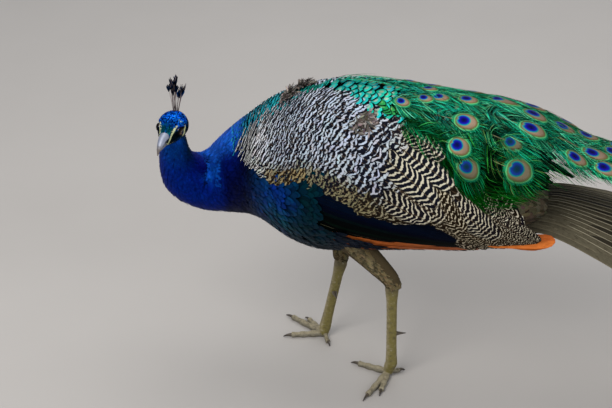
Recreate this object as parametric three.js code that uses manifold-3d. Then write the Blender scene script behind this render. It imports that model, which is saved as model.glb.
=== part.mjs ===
// Indian peafowl cock, life size, standing with the head turned to its left.
// Millimetres, +Z up, head towards -X, the bird's left side towards -Y.
// Every solid is the plumage or horn envelope of one named part of the bird.
import * as THREE from 'three';
import Module from 'manifold-3d';

const wasm = await Module();
wasm.setup();
const D2R = Math.PI / 180;

// ---------------------------------------------------------------- sizes
const GAP = 0.3;               // air between neighbouring solids
const BACK_T = 12;             // depth of the folded wing and of the back plumage
const WING_TIP_X = 288;        // wing tip, from the middle of the feet
const TRAIN_END_X = 604;       // longest train plume
const TAIL_END_X = 616;        // longest tail feather
const TARSUS_R = [8.3, 6.4];   // fore-aft and sideways half thickness of the shank
const SPUR_LEN = 17;

// body outline: x, centre z, half width, half height
const BODY = [
  [-200, 322, 58, 64], [-185, 331, 66, 71], [-170, 337, 74, 78], [-140, 347, 90, 94],
  [-100, 345, 106, 117], [-60, 344.5, 114, 130], [-20, 348, 118, 133], [30, 351, 120, 129],
  [80, 350, 120, 121], [130, 350, 120, 116], [180, 350, 119, 110], [200, 356, 118, 102],
  [250, 375, 112, 67], [290, 376, 105, 46], [330, 362, 99, 40], [372, 354, 94, 36],
  [450, 319, 88, 33], [520, 285, 82, 30], [610, 246, 72, 26],
];
// trunk below wings and train: rear stations narrow to the tail root
const TRUNK_REAR = [[120, 350, 106, 104], [160, 340, 92, 82], [190, 326, 66, 54], [212, 314, 42, 32], [226, 309, 24, 18]];
// folded wing outline along x: x, lower angle, upper angle on the body outline (degrees), depth
const WING = [
  [-187, 38, 48, 4], [-172, 29, 60, 8], [-152, 13, 67, 10], [-130, 3, 73, 12], [-102, -13, 77, 12],
  [-70, -23, 78, 12], [-36, -30, 78, 12], [0, -39, 76, 12], [42, -48, 72, 12], [116, -52, 60, 12], [170, -56, 34, 12],
  [205, -57, 18, 10], [235, -56, 8, 9], [258, -53, -6, 8], [274, -52, -24, 6], [WING_TIP_X, -50, -40, 4],
];
// wing outline departs from the body behind the trunk: x, centre z, half width, half height
const WING_BODY = [[180, 350, 119, 110], [210, 346, 114, 100], [240, 341, 107, 90], [268, 335, 100, 79], [292, 330, 92, 70]];
// train mantle: x, lower angle on the body outline, depth
const TRAIN = [
  [-62, 80, 5], [-40, 76, 8], [-10, 70, 11], [30, 63, 12], [70, 60, 12], [92, 55, 12], [110, 42, 12],
  [126, 31, 12], [148, 20, 12], [170, 14, 12], [200, 10, 18], [240, 8, 28], [266, 14, 28], [290, 28, 26], [314, 42, 24], [340, 50, 22], [420, 47, 19],
  [500, 44, 14], [TRAIN_END_X, 42, 6],
];
const TRAIN_CUTS = [150, 372];
// tail fan: x, half width, centre z, droop of the edge, depth
const TAIL = [[190, 30, 304, 6, 16], [240, 60, 302, 14, 15], [290, 86, 304, 18, 13], [376, 106, 297, 20, 10],
  [500, 121, 268, 24, 7], [TAIL_END_X, 126, 236, 28, 4]];
// neck: centre, dorsal hint, dorsal and side radius
const NECK = [
  [[-170, 0, 337], [0, 0, 1], 76, 73], [[-199, -3, 323], [-0.04, 0.03, 1], 63, 60],
  [[-215, -8, 316], [-0.06, 0.16, 0.98], 54, 53], [[-230, -15, 312], [-0.02, 0.34, 0.94], 47, 47],
  [[-243, -23, 315], [0.05, 0.52, 0.85], 42, 42], [[-254, -33, 322.5], [0.15, 0.66, 0.74], 39, 38.5],
  [[-261.5, -43, 335], [0.28, 0.75, 0.6], 35, 35], [[-266.5, -53, 353], [0.36, 0.8, 0.46], 28.5, 28.5],
  [[-268, -62, 373], [0.34, 0.86, 0.36], 23.5, 23.5], [[-267.5, -70, 392], [0.2, 0.92, 0.3], 20.5, 20.5],
  [[-267, -76, 410], [0.08, 0.95, 0.3], 18.5, 18.5], [[-266, -80, 424], [0.02, 0.95, 0.3], 14, 13.5],
];
// head frame: origin, forward, left, up
const HEAD_O = new THREE.Vector3(-261, -88, 435);
const HEAD_YAW = 78 * D2R, HEAD_PITCH = 13.5 * D2R, HEAD_ROLL = -2 * D2R;
const HF = new THREE.Vector3(-Math.cos(HEAD_YAW) * Math.cos(HEAD_PITCH), -Math.sin(HEAD_YAW) * Math.cos(HEAD_PITCH), -Math.sin(HEAD_PITCH));
const HL0 = new THREE.Vector3(Math.sin(HEAD_YAW), -Math.cos(HEAD_YAW), 0);
const HU0 = new THREE.Vector3().crossVectors(HF, HL0);
const HL = HL0.clone().multiplyScalar(Math.cos(HEAD_ROLL)).addScaledVector(HU0, Math.sin(HEAD_ROLL));
const HU = HU0.clone().multiplyScalar(Math.cos(HEAD_ROLL)).addScaledVector(HL0, -Math.sin(HEAD_ROLL));
// skull: forward, half width, top, bottom
const SKULL = [[-24, 4, 6, -7], [-21, 10, 11, -13], [-15, 16.5, 17, -17.5], [-6, 20.8, 20.8, -19], [3, 21.8, 21.2, -18],
  [11, 20.6, 19, -16.8], [18, 17, 15, -15.5], [24, 13, 11.2, -14], [29, 10.2, 9, -12.4], [34, 8, 6, -10.4]];
const BILL_TOP = [[20, 6.4, 8.4, -1], [27, 7.2, 9, -1.4], [34, 6.8, 8, -2], [40, 5.9, 6, -2.6], [46, 4.5, 2.6, -3.8], [51, 3, -1.6, -5.6],
  [54.5, 1.6, -6, -8.4], [56, 0.6, -9.4, -10.8]];
const BILL_LOW = [[20, 5.2, -1.6, -7.4], [28, 5.9, -2, -8], [36, 5.1, -2.6, -8], [43, 3.8, -3.6, -7.6], [48.5, 2.2, -5, -7.8], [51, 0.8, -6.2, -7.6]];
const EYE_R = 6.2, EYE_AT = [11.8, 14.9, 3.6];
const CREST_N = 14, CREST_LEN = 56, CREST_BASE = [-12, 0, 17];
// legs: hock, ankle, knuckle of the foot, and the toes: compass direction, length, claw length
const LEGS = {
  left: {
    thigh: [[-30, -56, 282, 34, 30], [-4, -57, 254, 29, 26], [18, -56, 229, 24, 22], [41, -53, 203, 19, 18], [55, -51, 186, 15.5, 14.5], [60, -50, 175, 13, 12]],
    hock: [59, -50, 168], ankle: [62, -48.5, 27], knuckle: [57, -43.5, 7], spurSide: [0.93, 0.36, -0.1], spurAt: 0.6,
    toes: [[163, 51, 14], [249, 66, 16], [264, 47, 13], [32, 19, 10]],
  },
  right: {
    thigh: [[-46, 56, 272, 33, 30], [-40, 54, 240, 27, 25], [-36, 46, 206, 19.5, 19], [-34, 40, 180, 15, 14.5], [-33, 36.5, 162, 12.5, 12], [-33, 36, 158, 11, 11]],
    hock: [-33, 36, 150], ankle: [-57.5, 43.5, 24], knuckle: [-60, 43, 7], spurSide: [0.34, -0.94, 0], spurAt: 0.45,
    toes: [[193, 53, 14], [147, 70, 16], [131, 47, 13], [-64, 22, 10]],
  },
};

// ---------------------------------------------------------------- helpers
function row(table, x) {
  let i = 0;
  while (i < table.length - 2 && x > table[i + 1][0]) i++;
  const p1 = table[i], p2 = table[i + 1], p0 = table[Math.max(i - 1, 0)], p3 = table[Math.min(i + 2, table.length - 1)];
  const t = Math.min(1, Math.max(0, (x - p1[0]) / (p2[0] - p1[0])));
  return p1.map((_, k) => {
    const m1 = i > 0 ? (p2[k] - p0[k]) / (p2[0] - p0[0]) : (p2[k] - p1[k]) / (p2[0] - p1[0]);
    const m2 = i < table.length - 2 ? (p3[k] - p1[k]) / (p3[0] - p1[0]) : (p2[k] - p1[k]) / (p2[0] - p1[0]);
    const h = p2[0] - p1[0], t2 = t * t, t3 = t2 * t;
    return (2 * t3 - 3 * t2 + 1) * p1[k] + (t3 - 2 * t2 + t) * h * m1 + (-2 * t3 + 3 * t2) * p2[k] + (t3 - t2) * h * m2;
  });
}
function body(points, faces) {
  let vol = 0;
  for (const [a, b, c] of faces) vol += points[a].dot(new THREE.Vector3().crossVectors(points[b], points[c]));
  const vertProperties = new Float32Array(points.flatMap((p) => [p.x, p.y, p.z]));
  const triVerts = new Uint32Array(faces.flatMap(([a, b, c]) => (vol > 0 ? [a, b, c] : [a, c, b])));
  return new wasm.Manifold(new wasm.Mesh({ numProp: 3, vertProperties, triVerts }));
}
// closed body through a row of rings of equal count, with a point at each end
function tube(rings, tip0, tip1) {
  const n = rings[0].length, pts = rings.flat(), f = [];
  for (let i = 0; i < rings.length - 1; i++) for (let j = 0; j < n; j++) {
    const a = i * n + j, b = i * n + (j + 1) % n, c = a + n, d = b + n;
    f.push([a, b, d], [a, d, c]);
  }
  const s = pts.length; pts.push(tip0, tip1);
  const l = (rings.length - 1) * n;
  for (let j = 0; j < n; j++) { f.push([s, (j + 1) % n, j]); f.push([s + 1, l + j, l + (j + 1) % n]); }
  return body(pts, f);
}
// closed shell between two grids of points with the same layout
function shell(outer, inner) {
  const nu = outer.length, nv = outer[0].length, pts = [...outer.flat(), ...inner.flat()], f = [];
  const o = (i, j) => i * nv + j, q = (i, j) => nu * nv + i * nv + j;
  for (let i = 0; i < nu - 1; i++) for (let j = 0; j < nv - 1; j++) {
    f.push([o(i, j), o(i + 1, j), o(i + 1, j + 1)], [o(i, j), o(i + 1, j + 1), o(i, j + 1)]);
    f.push([q(i, j), q(i + 1, j + 1), q(i + 1, j)], [q(i, j), q(i, j + 1), q(i + 1, j + 1)]);
  }
  for (let i = 0; i < nu - 1; i++) {
    f.push([o(i, 0), q(i, 0), q(i + 1, 0)], [o(i, 0), q(i + 1, 0), o(i + 1, 0)]);
    f.push([o(i, nv - 1), q(i + 1, nv - 1), q(i, nv - 1)], [o(i, nv - 1), o(i + 1, nv - 1), q(i + 1, nv - 1)]);
  }
  for (let j = 0; j < nv - 1; j++) {
    f.push([o(0, j), q(0, j + 1), q(0, j)], [o(0, j), o(0, j + 1), q(0, j + 1)]);
    f.push([o(nu - 1, j), q(nu - 1, j), q(nu - 1, j + 1)], [o(nu - 1, j), q(nu - 1, j + 1), o(nu - 1, j + 1)]);
  }
  return body(pts, f);
}
// elliptical rings along a path of [centre, dorsal hint, dorsal radius, side radius]
function pathTube(list, n, grow = 0, upright = false) {
  const c = list.map((s) => new THREE.Vector3(...s[0]));
  const rings = list.map((s, i) => {
    const t = c[Math.min(i + 1, c.length - 1)].clone().sub(c[Math.max(i - 1, 0)]).normalize();
    const d = new THREE.Vector3(...s[1]);
    if (!upright) d.addScaledVector(t, -d.dot(t));
    d.normalize();
    const l = new THREE.Vector3().crossVectors(d, t).normalize();
    return Array.from({ length: n }, (_, k) => {
      const a = k / n * 2 * Math.PI;
      return c[i].clone().addScaledVector(d, Math.cos(a) * (s[2] + grow)).addScaledVector(l, Math.sin(a) * (s[3] + grow));
    });
  });
  const e = (i, j, r) => c[i].clone().add(c[i].clone().sub(c[j]).normalize().multiplyScalar(r * 0.5 + grow));
  const m = c.length - 1;
  return tube(rings, e(0, 1, Math.min(list[0][2], list[0][3])), e(m, m - 1, Math.min(list[m][2], list[m][3])));
}
// subdivide a path list by Catmull-Rom
function fine(list, k) {
  const flat = list.map((s) => s.flat());
  const out = [];
  for (let i = 0; i < flat.length - 1; i++) for (let j = 0; j < k; j++) {
    const t = j / k, p0 = flat[Math.max(i - 1, 0)], p1 = flat[i], p2 = flat[i + 1], p3 = flat[Math.min(i + 2, flat.length - 1)];
    out.push(p1.map((_, q) => 0.5 * (2 * p1[q] + (p2[q] - p0[q]) * t + (2 * p0[q] - 5 * p1[q] + 4 * p2[q] - p3[q]) * t * t + (3 * p1[q] - p0[q] - 3 * p2[q] + p3[q]) * t ** 3)));
  }
  out.push(flat[flat.length - 1]);
  return out.map((p) => [p.slice(0, 3), p.slice(3, 6), p[6], p[7]]);
}
const inHead = (f, l, u) => HEAD_O.clone().addScaledVector(HF, f).addScaledVector(HL, l).addScaledVector(HU, u);
// loft in the head frame: table of forward, half width, top, bottom
function headLoft(table, n, grow = 0) {
  const rings = table.map(([s, w, t, b]) => Array.from({ length: n }, (_, k) => {
    const a = k / n * 2 * Math.PI, h = (t - b) / 2 + grow;
    return inHead(s, Math.cos(a) * (w + grow), (t + b) / 2 + Math.sin(a) * h);
  }));
  const first = table[0], last = table[table.length - 1];
  return tube(rings, inHead(first[0] - 0.6 * Math.min(first[1], 2) - grow, 0, (first[2] + first[3]) / 2), inHead(last[0] + 0.6 * Math.min(last[1], 2) + grow, 0, (last[2] + last[3]) / 2));
}
function sphere(centre, r, w = 12, h = 8) {
  const rings = [];
  for (let i = 1; i < h; i++) {
    const p = i / h * Math.PI;
    rings.push(Array.from({ length: w }, (_, k) => centre.clone().add(new THREE.Vector3(r * Math.sin(p) * Math.cos(k / w * 2 * Math.PI), r * Math.sin(p) * Math.sin(k / w * 2 * Math.PI), r * Math.cos(p)))));
  }
  return tube(rings, centre.clone().add(new THREE.Vector3(0, 0, r)), centre.clone().add(new THREE.Vector3(0, 0, -r)));
}
// box of given size about a point, turned so its Z follows the normal
function slab(centre, normal, w, d, h) {
  const g = new THREE.BoxGeometry(w, d, h);
  g.applyQuaternion(new THREE.Quaternion().setFromUnitVectors(new THREE.Vector3(0, 0, 1), normal.clone().normalize()));
  g.translate(centre.x, centre.y, centre.z);
  return fromGeometry(g);
}
function fromGeometry(g) {
  const pos = g.attributes.position, idx = g.index ? Array.from(g.index.array) : Array.from({ length: pos.count }, (_, i) => i);
  const key = new Map(), pts = [], map = [];
  for (let i = 0; i < pos.count; i++) {
    const k = [pos.getX(i), pos.getY(i), pos.getZ(i)].map((v) => Math.round(v * 1e4)).join();
    if (!key.has(k)) { key.set(k, pts.length); pts.push(new THREE.Vector3(pos.getX(i), pos.getY(i), pos.getZ(i))); }
    map.push(key.get(k));
  }
  const f = [];
  for (let i = 0; i < idx.length; i += 3) f.push([map[idx[i]], map[idx[i + 1]], map[idx[i + 2]]]);
  return body(pts, f);
}
// the largest of the separate bodies of a solid
function main(solid) {
  const parts = solid.decompose().sort((a, b) => b.volume() - a.volume());
  return parts[0];
}
const side = (solid, centre, normal) => {
  const parts = solid.decompose().filter((p) => p.volume() > 1);
  const mid = (p) => { const b = p.boundingBox(); return new THREE.Vector3((b.min[0] + b.max[0]) / 2, (b.min[1] + b.max[1]) / 2, (b.min[2] + b.max[2]) / 2).sub(centre).dot(normal); };
  parts.sort((a, b) => mid(a) - mid(b));
  return [parts[0], parts[parts.length - 1]];
};

// ---------------------------------------------------------------- plumage of the body
const onBody = (table, x, ang, inset, sgn) => {
  const [, zc, a, b] = row(table, x);
  return new THREE.Vector3(x, sgn * (a - inset) * Math.cos(ang * D2R), zc + (b - inset) * Math.sin(ang * D2R));
};
function trunkSolid(grow) {
  const table = [...BODY.filter((r) => r[0] <= 80), ...TRUNK_REAR], n = 22, rings = [];
  for (const x of [-190, -170, -148, -122, -90, -45, 10, 65, 115, 160, 205]) {
    rings.push(Array.from({ length: n }, (_, k) => onBody(table, x, k / n * 360, 1.5 - grow, -1)));
  }
  return tube(rings, new THREE.Vector3(-192 - grow, 0, 328), new THREE.Vector3(229 + grow, 0, 309));
}
function wingSolid(sgn, grow, sunk = true) {
  const nv = 8, outer = [], inner = [];
  const base = [...BODY.filter((r) => r[0] < 180), ...WING_BODY];
  const xs = [];
  for (let x = -187; x < 200; x += 32) xs.push(x);
  for (const x of [220, 242, 262, WING_TIP_X]) xs.push(x);
  xs.forEach((x, i) => {
    const [, lo, hi, t] = row(WING, x);
    // feather tips step the lower edge behind the wrist
    const notch = x > -60 && x < 255 ? 1.8 * (i % 2) : 0;
    // the upper edge sinks below the train mantle
    const cover = x > -60 ? row(TRAIN, x)[1] - 5 : 999;
    const g = grow / 120 / D2R, o = [], q = [];
    for (let j = 0; j < nv; j++) {
      const ang = lo - g + notch + (hi - lo + 2 * g - notch) * j / (nv - 1);
      const xx = x + (i === 0 ? -grow : i === xs.length - 1 ? grow : 0);
      const edge = Math.min(1, 0.25 + 1.2 * Math.sin(j / (nv - 1) * Math.PI));
      const sink = ang > cover && sunk ? 4.5 : 0;
      o.push(onBody(base, xx, ang, sink - grow, sgn));
      q.push(onBody(base, xx, ang, Math.max(1.2, t * edge, sink + 1.5) + grow, sgn));
    }
    outer.push(o); inner.push(q);
  });
  return shell(outer, inner);
}
function trainSolid(grow) {
  const nv = 15, outer = [], inner = [], xs = [];
  for (const x of [-62, -25, 20, 65, 92, 110, 128, 150, 190, 236, 266, 290, 314, 345, 400, 455, 510, 560, TRAIN_END_X]) xs.push(x);
  xs.forEach((x, i) => {
    const [, lo, t] = row(TRAIN, x), o = [], q = [];
    const last = Math.max(0, (x - 500) / (TRAIN_END_X - 500));
    for (let j = 0; j < nv; j++) {
      const s = j / (nv - 1), g = grow / 110 / D2R;
      const ang = lo - g + (180 - 2 * lo + 2 * g) * s;
      // plume tips: rounded end with a tip every third of the arc points
      const tip = last * (62 * Math.pow(Math.abs(2 * s - 1), 2.2) + 17 * (j % 2));
      const xx = x - tip + (i === 0 ? -grow : i === xs.length - 1 ? grow : 0);
      const edge = Math.min(1, 0.3 + 1.5 * Math.sin(s * Math.PI));
      o.push(onBody(BODY, xx, ang, -grow, -1));
      q.push(onBody(BODY, xx, ang, Math.max(1.5, t * edge) + grow, -1));
    }
    outer.push(o); inner.push(q);
  });
  return shell(outer, inner);
}
function tailSolid(grow) {
  const nv = 15, outer = [], inner = [], xs = [190, 235, 290, 360, 440, 530, TAIL_END_X];
  xs.forEach((x, i) => {
    const o = [], q = [], last = Math.max(0, (x - 470) / (TAIL_END_X - 470));
    for (let j = 0; j < nv; j++) {
      const s = 2 * j / (nv - 1) - 1;
      const xx = x - last * (78 * Math.pow(Math.abs(s), 2) + 13 * (j % 2)) + (i === 0 ? -grow : i === xs.length - 1 ? grow : 0);
      const [, w, z, droop, t] = row(TAIL, xx);
      const ridge = 1.2 * (j % 2);
      o.push(new THREE.Vector3(xx, s * (w + grow), z - droop * s * s + ridge + grow));
      q.push(new THREE.Vector3(xx, s * (w + grow), z - droop * s * s - Math.max(1.5, t * (1 - 0.6 * s * s)) - grow));
    }
    outer.push(o); inner.push(q);
  });
  return shell(outer, inner);
}

const train = trainSolid(0), trainGrown = trainSolid(GAP);
const wings = {}, wingsGrown = {};
for (const [name, sgn] of [['left', -1], ['right', 1]]) {
  wings[name] = main(wingSolid(sgn, 0).subtract(trainGrown));
  wingsGrown[name] = wingSolid(sgn, GAP, false).add(wingSolid(sgn, GAP));
}
const trunkGrown = trunkSolid(GAP);
let trunk = trunkSolid(0).subtract(trainGrown).subtract(wingsGrown.left).subtract(wingsGrown.right);
const tail = main(tailSolid(0).subtract(trainGrown).subtract(trunkGrown).subtract(wingsGrown.left).subtract(wingsGrown.right));

// neck and head flesh in one, then parted
const neckPath = fine(NECK, 2);
let neck = pathTube(neckPath, 18, 0, true).add(headLoft(SKULL, 16));
const stationPlane = (i) => {
  const c = new THREE.Vector3(...neckPath[i][0]);
  return [c, new THREE.Vector3(...neckPath[i + 1][0]).sub(new THREE.Vector3(...neckPath[i - 1][0])).normalize()];
};
const [shoulderC, shoulderN] = [new THREE.Vector3(-188, 0, 330), new THREE.Vector3(-1, 0, -0.2).normalize()];
// keep the neck in front of the shoulder plane and the trunk behind it
neck = main(neck.subtract(slab(shoulderC.clone().addScaledVector(shoulderN, -60 + GAP / 2), shoulderN, 300, 300, 120)));
trunk = main(trunk.subtract(slab(shoulderC.clone().addScaledVector(shoulderN, 60 - GAP / 2), shoulderN, 300, 300, 120)));
neck = main(neck.subtract(wingsGrown.left).subtract(wingsGrown.right));
const [bendC, bendN] = stationPlane(10);
const [neckLower, neckRest] = side(neck.subtract(slab(bendC, bendN, 130, 130, GAP)), bendC, bendN);
const [napeC, napeN] = stationPlane(17);
const [neckUpper, headFlesh] = side(neckRest.subtract(slab(napeC, napeN, 90, 90, GAP)), napeC, napeN);

// ---------------------------------------------------------------- head
const billUpper = headLoft(BILL_TOP, 12), billLower = main(headLoft(BILL_LOW, 10).subtract(headLoft(BILL_TOP, 12, GAP)));
const eyes = {}; let head = headFlesh.subtract(headLoft(BILL_TOP, 12, GAP)).subtract(headLoft(BILL_LOW, 10, GAP));
for (const [name, s] of [['left', 1], ['right', -1]]) {
  const c = inHead(EYE_AT[0], s * EYE_AT[1], EYE_AT[2]);
  eyes[name] = sphere(c, EYE_R);
  head = head.subtract(sphere(c, EYE_R + GAP));
}
head = main(head);
// crest: bare shafts with spade-shaped tips standing in a fan
let crest = sphere(inHead(...CREST_BASE), 5.5, 8, 6);
for (let i = 0; i < CREST_N; i++) {
  const q = i / (CREST_N - 1), back = (4 + 40 * q) * D2R, out = ((i % 3) - 1) * 9 * D2R * (1 - 0.3 * q);
  const len = CREST_LEN * (0.84 + 0.16 * Math.sin(i * 2.4)) * (0.92 + 0.08 * Math.cos(q * 3));
  const dir = HU.clone().multiplyScalar(Math.cos(back) * Math.cos(out)).addScaledVector(HF, -Math.sin(back)).addScaledVector(HL, Math.sin(out)).normalize();
  const across = new THREE.Vector3().crossVectors(dir, HF).normalize(), thick = new THREE.Vector3().crossVectors(across, dir);
  const base = inHead(...CREST_BASE).addScaledVector(HF, 3 - 8 * q).addScaledVector(HL, ((i % 3) - 1) * 2.2);
  const stem = [[2, 0.7, 0.7], [len - 17, 0.6, 0.6], [len - 9, 3.6, 0.8], [len - 3, 4.4, 0.7]];
  const rings = stem.map(([h, w, t]) => [[1, 0], [0, 1], [-1, 0], [0, -1]].map(([u, v]) => base.clone().addScaledVector(dir, h).addScaledVector(across, u * w).addScaledVector(thick, v * t)));
  crest = crest.add(tube(rings, base.clone().addScaledVector(dir, 0.5), base.clone().addScaledVector(dir, len + 1.5)));
}
crest = main(crest.subtract(headLoft(SKULL, 16, GAP)));

// ---------------------------------------------------------------- legs
const legParts = {};
for (const [name, L] of Object.entries(LEGS)) {
  const thighPath = L.thigh.map(([x, y, z, r1, r2]) => [[x, y, z], [-1, 0, 0.3], r1, r2]);
  const thigh = pathTube(thighPath, 14);
  const hk = L.hock, an = L.ankle, kn = L.knuckle;
  const lerp = (t) => hk.map((v, i) => v + (an[i] - v) * t);
  const shank = [[thighPath[5][0], 9.5, 8.5], [hk, 10.5, 9.2], [lerp(0.09), 9.6, 7.8], [lerp(0.2), TARSUS_R[0], TARSUS_R[1]], [lerp(0.5), TARSUS_R[0] - 0.3, TARSUS_R[1] - 0.2],
    [lerp(0.82), TARSUS_R[0], TARSUS_R[1]], [lerp(0.95), 9, 7.8], [an, 9.4, 8.4], [[(an[0] + kn[0]) / 2, (an[1] + kn[1]) / 2, (an[2] + kn[2]) / 2 + 1], 9.2, 9], [[kn[0], kn[1], kn[2]], 7.6, 8.5]]
    .map(([c, a, b]) => [c, [-1, 0, 0.05], a, b]);
  let lower = pathTube(shank, 12);
  const claws = [];
  L.toes.forEach(([dir, len, claw], k) => {
    const d = new THREE.Vector3(Math.cos(dir * D2R), Math.sin(dir * D2R), 0);
    const hallux = k === 3, z0 = hallux ? 11 : kn[2] - 1.2, z1 = hallux ? 3.3 : 4.2;
    const joints = hallux ? 1 : 3, m = joints * 2, path = [];
    for (let i = 0; i <= m; i++) {
      const t = i / m, knob = Math.cos(t * joints * 2 * Math.PI);
      const r = (hallux ? 4.4 : 5.9) - (hallux ? 0.8 : 1.5) * t + 0.5 * knob;
      const z = z0 + (z1 - z0) * Math.min(1, t * 1.7) + (i === m ? -0.3 : 0);
      path.push([[kn[0] + d.x * len * t, kn[1] + d.y * len * t, z], [0, 0, 1], r, r * 0.98]);
    }
    lower = lower.add(pathTube(path, 7));
    const end = new THREE.Vector3(kn[0], kn[1], 0).addScaledVector(d, len);
    const clawPath = [[-3, 3.9, 2.6, 2.2], [1.5, 4.3, 2.9, 2.3], [claw * 0.45, 4.2, 2.3, 1.7], [claw * 0.75, 3, 1.5, 1.1], [claw, 1.5, 0.7, 0.6]]
      .map(([s, z, a, b]) => [[end.x + d.x * s, end.y + d.y * s, z + (hallux ? -0.4 : 0)], [0, 0, 1], a, b]);
    claws.push([pathTube(clawPath, 6), pathTube(clawPath, 6, GAP)]);
  });
  // soles are flat on the ground
  lower = lower.subtract(slab(new THREE.Vector3(kn[0], kn[1], -20), new THREE.Vector3(0, 0, 1), 300, 300, 40));
  for (const [, grown] of claws) lower = lower.subtract(grown);
  const spurAt = new THREE.Vector3(...lerp(L.spurAt)), spurDir = new THREE.Vector3(...L.spurSide).normalize();
  const spurList = (g) => pathTube([[2, 4.6, 4.6], [7, 4.2, 4.2], [10, 3.1, 3.1], [15, 1.9, 1.9], [6 + SPUR_LEN, 0.7, 0.7]].map(([s, a, b]) => [spurAt.clone().addScaledVector(spurDir, s).toArray(), [0, 0, 1], a, b]), 10, g);
  const shankGrown = pathTube(shank, 12, GAP);
  const ankleC = new THREE.Vector3(...lerp(0.97));
  const [foot, upperLeg] = side(lower.subtract(slab(ankleC, new THREE.Vector3(0, 0, 1), 60, 60, GAP)), ankleC, new THREE.Vector3(0, 0, 1));
  const hockC = new THREE.Vector3(...hk), hockN = new THREE.Vector3(0, 0, 1);
  const tarsus = main(upperLeg.subtract(slab(hockC.clone().add(new THREE.Vector3(0, 0, 20.5 + GAP / 2)), hockN, 80, 80, 40)));
  const thighCut = main(thigh.subtract(slab(hockC.clone().add(new THREE.Vector3(0, 0, -20 + 0.5 + GAP)), hockN, 80, 80, 40))
    .subtract(trunkGrown).subtract(wingsGrown.left).subtract(wingsGrown.right));
  legParts[name] = { thigh: thighCut, tarsus, foot, spur: main(spurList(0).subtract(shankGrown)), claws: claws.map(([c]) => main(c.subtract(slab(new THREE.Vector3(kn[0], kn[1], -20), new THREE.Vector3(0, 0, 1), 300, 300, 40)))) };
}

// ---------------------------------------------------------------- the bird
const group = new THREE.Group();
const meshes = [];
function add(name, solid, colour, roughness = 0.7, metalness = 0) {
  const m = solid.getMesh();
  const g = new THREE.BufferGeometry();
  g.setAttribute('position', new THREE.BufferAttribute(Float32Array.from(m.vertProperties), 3));
  g.setIndex(new THREE.BufferAttribute(Uint32Array.from(m.triVerts), 1));
  const mesh = new THREE.Mesh(g, new THREE.MeshStandardMaterial({ color: colour, roughness, metalness }));
  mesh.name = name;
  meshes.push(mesh);
  group.add(mesh);
}
// train in three lengths, parted across
const X1 = new THREE.Vector3(1, 0, 0);
const at = (x) => new THREE.Vector3(x, 0, 350);
const [trainFront, trainRest] = side(train.subtract(slab(at(TRAIN_CUTS[0]), X1, 400, 400, GAP)), at(TRAIN_CUTS[0]), X1);
const [trainMid, trainEnd] = side(trainRest.subtract(slab(at(TRAIN_CUTS[1]), X1, 400, 400, GAP)), at(TRAIN_CUTS[1]), X1);

add('head', head, 0x1c4a8c, 0.5);
add('bill_upper', billUpper, 0xa39c8c, 0.5);
add('bill_lower', billLower, 0x9a9486, 0.5);
add('eye_left', eyes.left, 0x1a100a, 0.1);
add('eye_right', eyes.right, 0x1a100a, 0.1);
add('crest', crest, 0x243c6c, 0.6);
add('neck_upper', neckUpper, 0x1a3fa8, 0.45);
add('neck_lower', neckLower, 0x173a9c, 0.45);
add('trunk', trunk, 0x12323c, 0.6);
add('wing_left', wings.left, 0x8c8468, 0.65);
add('wing_right', wings.right, 0x8c8468, 0.65);
add('train_back', trainFront, 0x3f7a3c, 0.45);
add('train_middle', trainMid, 0x4f7c34, 0.5);
add('train_end', trainEnd, 0x5a7c34, 0.5);
add('tail', tail, 0x6c6454, 0.7);
for (const name of ['left', 'right']) {
  const p = legParts[name];
  add(`thigh_${name}`, p.thigh, 0x7c6a48, 0.8);
  add(`tarsus_${name}`, p.tarsus, 0x7c7658, 0.6);
  add(`foot_${name}`, p.foot, 0x7c7458, 0.6);
  add(`spur_${name}`, p.spur, 0x6c6450, 0.5);
  p.claws.forEach((c, i) => add(`claw_${name}_${i + 1}`, c, 0x3c362a, 0.4));
}
// origin below the middle of the whole bird, at the soles
const box = new THREE.Box3();
for (const m of meshes) { m.geometry.computeBoundingBox(); box.union(m.geometry.boundingBox); }
const shift = new THREE.Vector3(-(box.min.x + box.max.x) / 2, -(box.min.y + box.max.y) / 2, -box.min.z);
for (const m of meshes) m.geometry.translate(shift.x, shift.y, shift.z);

export default group;
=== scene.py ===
import bpy, math
import numpy as np
from mathutils import Vector, Matrix


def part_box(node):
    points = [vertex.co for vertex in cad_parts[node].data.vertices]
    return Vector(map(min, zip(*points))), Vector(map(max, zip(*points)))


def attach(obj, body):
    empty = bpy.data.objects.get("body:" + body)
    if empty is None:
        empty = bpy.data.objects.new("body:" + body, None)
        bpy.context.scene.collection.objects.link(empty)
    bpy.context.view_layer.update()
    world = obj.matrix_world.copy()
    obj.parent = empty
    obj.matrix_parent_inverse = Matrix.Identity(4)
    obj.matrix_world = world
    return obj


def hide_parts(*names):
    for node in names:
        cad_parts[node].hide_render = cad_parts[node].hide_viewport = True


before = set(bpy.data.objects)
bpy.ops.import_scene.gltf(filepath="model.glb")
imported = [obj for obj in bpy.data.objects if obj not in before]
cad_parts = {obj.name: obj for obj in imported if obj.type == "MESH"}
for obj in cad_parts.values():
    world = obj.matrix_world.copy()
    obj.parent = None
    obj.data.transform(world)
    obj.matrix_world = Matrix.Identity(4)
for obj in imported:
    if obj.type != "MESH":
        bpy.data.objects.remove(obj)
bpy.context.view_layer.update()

RNG = np.random.default_rng(11)
D2R = math.pi / 180

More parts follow.
